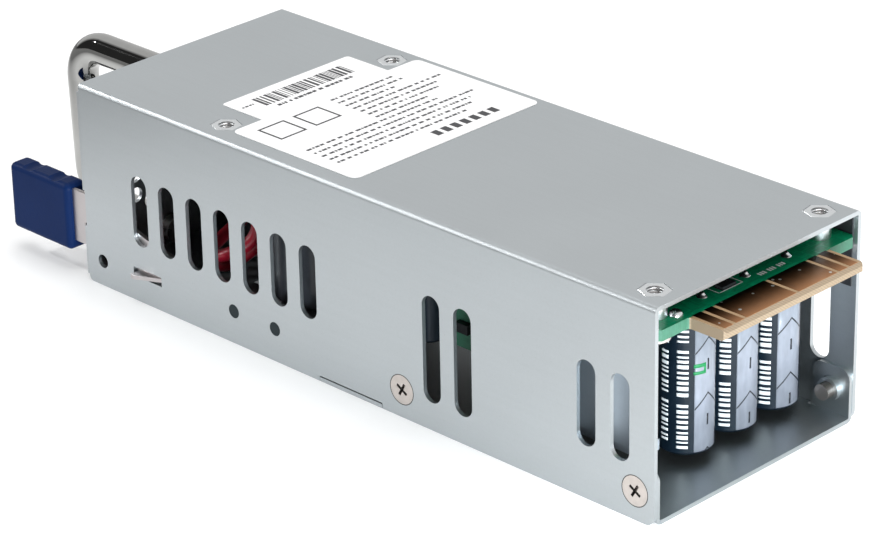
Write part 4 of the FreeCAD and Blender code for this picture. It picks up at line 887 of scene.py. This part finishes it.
class SUPPLY_OT_power_parts(bpy.types.Operator):
    """Finish the heat sinks, semiconductors and mains parts"""

    bl_idname = "supply.power_parts"
    bl_label = "Power parts"

    def execute(self, context):
        dress(plated("drawn_aluminium", (0.72, 0.73, 0.75), 0.24, (2.0, 2.0, 0.25)),
              "primary_heat_sink")
        dress(galvanised("etched_aluminium", (0.50, 0.56, 0.62), 0.60), "secondary_heat_sink")
        dress(moulded("package", (0.02, 0.02, 0.022), 0.38, 2.6, 0.01),
              "primary_switches", "output_rectifier", "bridge_rectifier")
        dress(moulded("film_case", (0.62, 0.42, 0.02), 0.3, 1.0, 0.01), "x_capacitor")
        dress(sintered("dipped_blue", (0.01, 0.09, 0.42)), "y_capacitors")
        dress(sintered("dipped_green", (0.02, 0.10, 0.05)), "thermistor")
        dress(sintered("fuse_ceramic", (0.74, 0.72, 0.66)), "fuse")
        dress(moulded("header_white", (0.76, 0.75, 0.70), 0.45), "wire_header")
        return {"FINISHED"}


class SUPPLY_OT_inlet(bpy.types.Operator):
    """Finish the mains inlet"""

    bl_idname = "supply.inlet"
    bl_label = "Inlet"

    def execute(self, context):
        dress(moulded("inlet_black", (0.018, 0.018, 0.02), 0.45, 1.8, 0.03), "inlet_housing")
        dress(plated("blade", (0.78, 0.76, 0.70), 0.22, (0.3, 2.0, 2.0)), "inlet_blades")
        return {"FINISHED"}


class SUPPLY_OT_fan(bpy.types.Operator):
    """Finish the fan"""

    bl_idname = "supply.fan"
    bl_label = "Fan"

    def execute(self, context):
        dress(moulded("fan_frame_black", (0.022, 0.022, 0.024), 0.5, 1.4, 0.03), "fan_frame")
        dress(moulded("fan_rotor_black", (0.03, 0.03, 0.032), 0.36, 2.4, 0.01), "fan_rotor")
        return {"FINISHED"}


class SUPPLY_OT_wires(bpy.types.Operator):
    """Finish the wires"""

    bl_idname = "supply.wires"
    bl_label = "Wires"

    def execute(self, context):
        line = insulated("line_insulation", tuple(context.scene.supply_colours.wires))
        dress(line, "live_wire", "neutral_wire")
        dress(insulated("earth_insulation", (0.03, 0.26, 0.05)), "earth_wire")
        return {"FINISHED"}


class SUPPLY_OT_label(bpy.types.Operator):
    """Finish the label and print plain bars, rules and dashes on it"""

    bl_idname = "supply.label"
    bl_label = "Label"

    def execute(self, context):
        colours = context.scene.supply_colours
        sizes = context.scene.supply_sizes
        paper = Finish("coated_paper", coat_weight=0.15)
        fibre = paper.noise(paper.place(), 1.2, 3)
        paper.put(base_color=paper.shade(tuple(colours.label), fibre * 0.06 + 0.97))
        paper.put(roughness=fibre * 0.1 + 0.38)
        paper.bump(fibre, 0.01)
        dress(paper, "rating_label")
        dress(self.film(), "insulating_sheet")
        low, high = box("rating_label")
        top = high[2]
        points, faces = tiles(self.print_spans(low, high), top, top + sizes.print_thickness)
        printing = piece("label_printing", points, faces, smooth=False)
        ink_finish("label_ink", tuple(colours.ink)).wear(printing)
        return {"FINISHED"}

    def film(self):
        """Black insulating film, faintly creased."""
        made = Finish("black_film", coat_weight=0.3)
        crease = made.noise(made.place(), 0.2, 3)
        made.put(base_color=made.shade((0.012, 0.012, 0.014), crease * 0.6 + 0.7))
        made.put(roughness=crease * 0.2 + 0.3)
        made.bump(crease, 0.1)
        return made

    def print_spans(self, low, high):
        """Rows of dashes across the label, bars on its tag and last row, and two ruled frames."""
        dice = np.random.default_rng(7)
        spans = []
        tag_width, rows, row_pitch, frame_line, bar_pitch = 10.8, 12, 1.95, 0.45, 2.4
        main = low[0] + tag_width
        bars_x0, bars_x1 = low[0] + 2.4, low[0] + 6.6
        y = low[1] + 12.5
        while y < high[1] - 12.2:
            width = dice.choice([0.22, 0.22, 0.44, 0.66])
            spans.append((bars_x0, bars_x1, y, y + width))
            y += width + dice.choice([0.25, 0.25, 0.5])
        spans += self.dashes(dice, low[0] + 7.6, 1.25, low[1] + 14.0, high[1] - 14.0, 1.0)
        spans += self.dashes(dice, low[0] + 4.0, 0.8, low[1] + 8.6, low[1] + 11.4, 0.5)
        for row in range(rows):
            x = main + 2.4 + row_pitch * row
            start = low[1] + (22.0 if row < 7 else 3.0)
            end = high[1] - dice.uniform(2.0, 14.0)
            spans += self.dashes(dice, x, 0.95, start, end, 0.9)
        spans += self.framed(main + 3.0, main + 9.4, low[1] + 3.4, low[1] + 9.8, frame_line)
        spans += self.framed(main + 3.0, main + 9.4, low[1] + 12.0, low[1] + 18.4, frame_line)
        for y in np.arange(low[1] + 23.5, high[1] - 8.0, bar_pitch):
            spans.append((main + 26.6, main + 28.8, y, y + 1.5))
        return spans

    def dashes(self, dice, x, height, start, end, reach):
        """A row of short dashes with uneven lengths, like a line of print."""
        spans = []
        y = start
        while y < end:
            run = min(dice.uniform(0.35, reach + 0.35), end - y)
            if run > 0.2:
                spans.append((x, x + height * 0.62, y, y + run))
            y += run + dice.choice([0.22, 0.22, 0.7])
        return spans

    def framed(self, x0, x1, y0, y1, line):
        """Four strips that rule a frame."""
        return [(x0, x0 + line, y0, y1), (x1 - line, x1, y0, y1),
                (x0 + line, x1 - line, y0, y0 + line), (x0 + line, x1 - line, y1 - line, y1)]


class SUPPLY_OT_light(bpy.types.Operator):
    """Finish the light pipe and its light"""

    bl_idname = "supply.light"
    bl_label = "Light"

    def execute(self, context):
        clear = Finish("light_pipe_clear", transmission_weight=0.85, ior=1.49)
        haze = clear.noise(clear.place(), 0.8, 2)
        clear.put(base_color=clear.shade((0.80, 0.92, 0.84), haze * 0.1 + 0.92))
        clear.put(roughness=haze * 0.1 + 0.08)
        dress(clear, "light_pipe")
        dress(moulded("light_chip", (0.85, 0.83, 0.60), 0.3, 1.0, 0.01), "status_light")
        return {"FINISHED"}


class SUPPLY_OT_stage(bpy.types.Operator):
    """Lay the floor, set the lamps and place the camera"""

    bl_idname = "supply.stage"
    bl_label = "Stage"

    def execute(self, context):
        self.floor()
        self.world(context.scene)
        self.lamps()
        self.camera(context.scene)
        view = context.scene.view_settings
        view.view_transform = "Standard"
        return {"FINISHED"}

    def floor(self):
        """A square pale floor just under the supply.

        Its glow fades out past the latch's side and grows ahead of the open end.
        """
        half, down = 3000.0, -0.05
        corners = np.array([(-half, -half, down), (half, -half, down),
                            (half, half, down), (-half, half, down)])
        mesh = bpy.data.meshes.new("floor")
        mesh.from_pydata((corners * MM).tolist(), [], [(0, 1, 2, 3)])
        ground = bpy.data.objects.new("floor", mesh)
        bpy.context.scene.collection.objects.link(ground)
        made = Finish("floor", roughness=0.9, emission_strength=1.0, specular_ior_level=0.0)
        x, y, _ = made.axes(made.place())
        fade = 110.0
        glow = (x + y).step(-212.0, fade)
        ahead = x.step(70.0, fade)
        made.put(base_color=made.shade((0.82, 0.82, 0.82), glow * 0.7 + 0.3))
        made.put(emission_color=made.shade((1.0, 1.0, 1.0), glow * (ahead * 0.65 + 0.20)))
        made.wear(ground)

    def world(self, scene):
        """A studio that is pale behind the supply and overhead, and dark on the latch's side."""
        world = bpy.data.worlds.new("studio")
        scene.world = world
        world.use_nodes = True
        tree = world.node_tree
        tree.nodes.clear()
        split = tree.nodes.new("ShaderNodeSeparateXYZ")
        tree.links.new(tree.nodes.new("ShaderNodeTexCoord").outputs["Generated"], split.inputs[0])
        x, y, z = [Number(tree, part) for part in split.outputs]
        behind = y.step(-0.04, 0.22)
        ahead = x.step(0.50, 0.4) * 0.9
        overhead = z.step(0.93, 0.1) * 0.5
        level = behind * 0.82 + (1 - behind) * (ahead + 0.04 + overhead)
        soft = tree.nodes.new("ShaderNodeBackground")
        soft.inputs[0].default_value = (1.0, 1.0, 1.0, 1)
        tree.links.new(level.socket, soft.inputs[1])
        out = tree.nodes.new("ShaderNodeOutputWorld")
        tree.links.new(soft.outputs[0], out.inputs[0])

    def lamps(self):
        """A small key over the handle, one low for the near bend, a bank and an end fill.

        The bank hangs overhead. The end fill stands low and shines into the open end.
        """
        self.lamp("bend_key", (-0.56, -0.66, 0.36), (0, 0, 0.02), 0.08, 0.42, 1.7)
        self.lamp("key", (-0.79, -0.31, 0.55), (0, 0, 0.02), 0.025, 0.025, 2.6)
        self.lamp("top_bank", (0.05, 0.05, 0.85), (0, 0, 0.03), 0.6, 0.5, 3.35)
        fill = self.lamp("end_fill", (0.44, -0.22, 0.021), (0.07, 0, 0.021), 0.30, 0.034, 3.7)
        fill.color = (0.84, 0.95, 1.0)

    def lamp(self, name, place, target, width, depth, power):
        """A rectangular lamp in metres and watts, turned to face its target."""
        data = bpy.data.lights.new(name, "AREA")
        data.shape = "RECTANGLE"
        data.size, data.size_y = width, depth
        data.energy = power
        made = bpy.data.objects.new(name, data)
        made.location = place
        aim = Vector(target) - Vector(place)
        made.rotation_mode = "QUATERNION"
        made.rotation_quaternion = aim.to_track_quat("-Z", "Y")
        bpy.context.scene.collection.objects.link(made)
        return data

    def camera(self, scene):
        """The camera's lens in millimetres, its place in metres and its turn in degrees."""
        data = bpy.data.cameras.new("camera")
        data.lens = 148.375
        data.sensor_width = 36.0
        data.clip_start, data.clip_end = 0.01, 20
        made = bpy.data.objects.new("camera", data)
        made.location = (0.414125, -0.416524, 0.290068)
        made.rotation_euler = [math.radians(angle) for angle in (64.9708, 1.0799, 44.6222)]
        scene.collection.objects.link(made)
        scene.camera = made


class SUPPLY_PT_panel(bpy.types.Panel):
    """Buttons for each group of pieces"""

    bl_idname = "SUPPLY_PT_panel"
    bl_label = "Power supply"
    bl_space_type = "VIEW_3D"
    bl_region_type = "UI"
    bl_category = "Supply"

    def draw(self, context):
        for group in (context.scene.supply_colours, context.scene.supply_sizes):
            column = self.layout.column()
            for name in group.bl_rna.properties.keys():
                if name not in ("rna_type", "name"):
                    column.prop(group, name)
        for operator in OPERATORS:
            self.layout.operator(operator.bl_idname)


OPERATORS = (
    SUPPLY_OT_casing, SUPPLY_OT_fasteners, SUPPLY_OT_handle, SUPPLY_OT_latch, SUPPLY_OT_board,
    SUPPLY_OT_capacitors, SUPPLY_OT_magnetics, SUPPLY_OT_power_parts, SUPPLY_OT_inlet,
    SUPPLY_OT_fan, SUPPLY_OT_wires, SUPPLY_OT_label, SUPPLY_OT_light, SUPPLY_OT_stage,
)
CLASSES = (SupplyColours, SupplySizes) + OPERATORS + (SUPPLY_PT_panel,)


def register():
    for item in CLASSES:
        bpy.utils.register_class(item)
    bpy.types.Scene.supply_colours = PointerProperty(type=SupplyColours)
    bpy.types.Scene.supply_sizes = PointerProperty(type=SupplySizes)


def unregister():
    del bpy.types.Scene.supply_sizes
    del bpy.types.Scene.supply_colours
    for item in reversed(CLASSES):
        bpy.utils.unregister_class(item)


def main():
    register()
    for operator in OPERATORS:
        getattr(bpy.ops.supply, operator.bl_idname.split(".")[1])()
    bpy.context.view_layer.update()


if __name__ == "__main__":
    main()
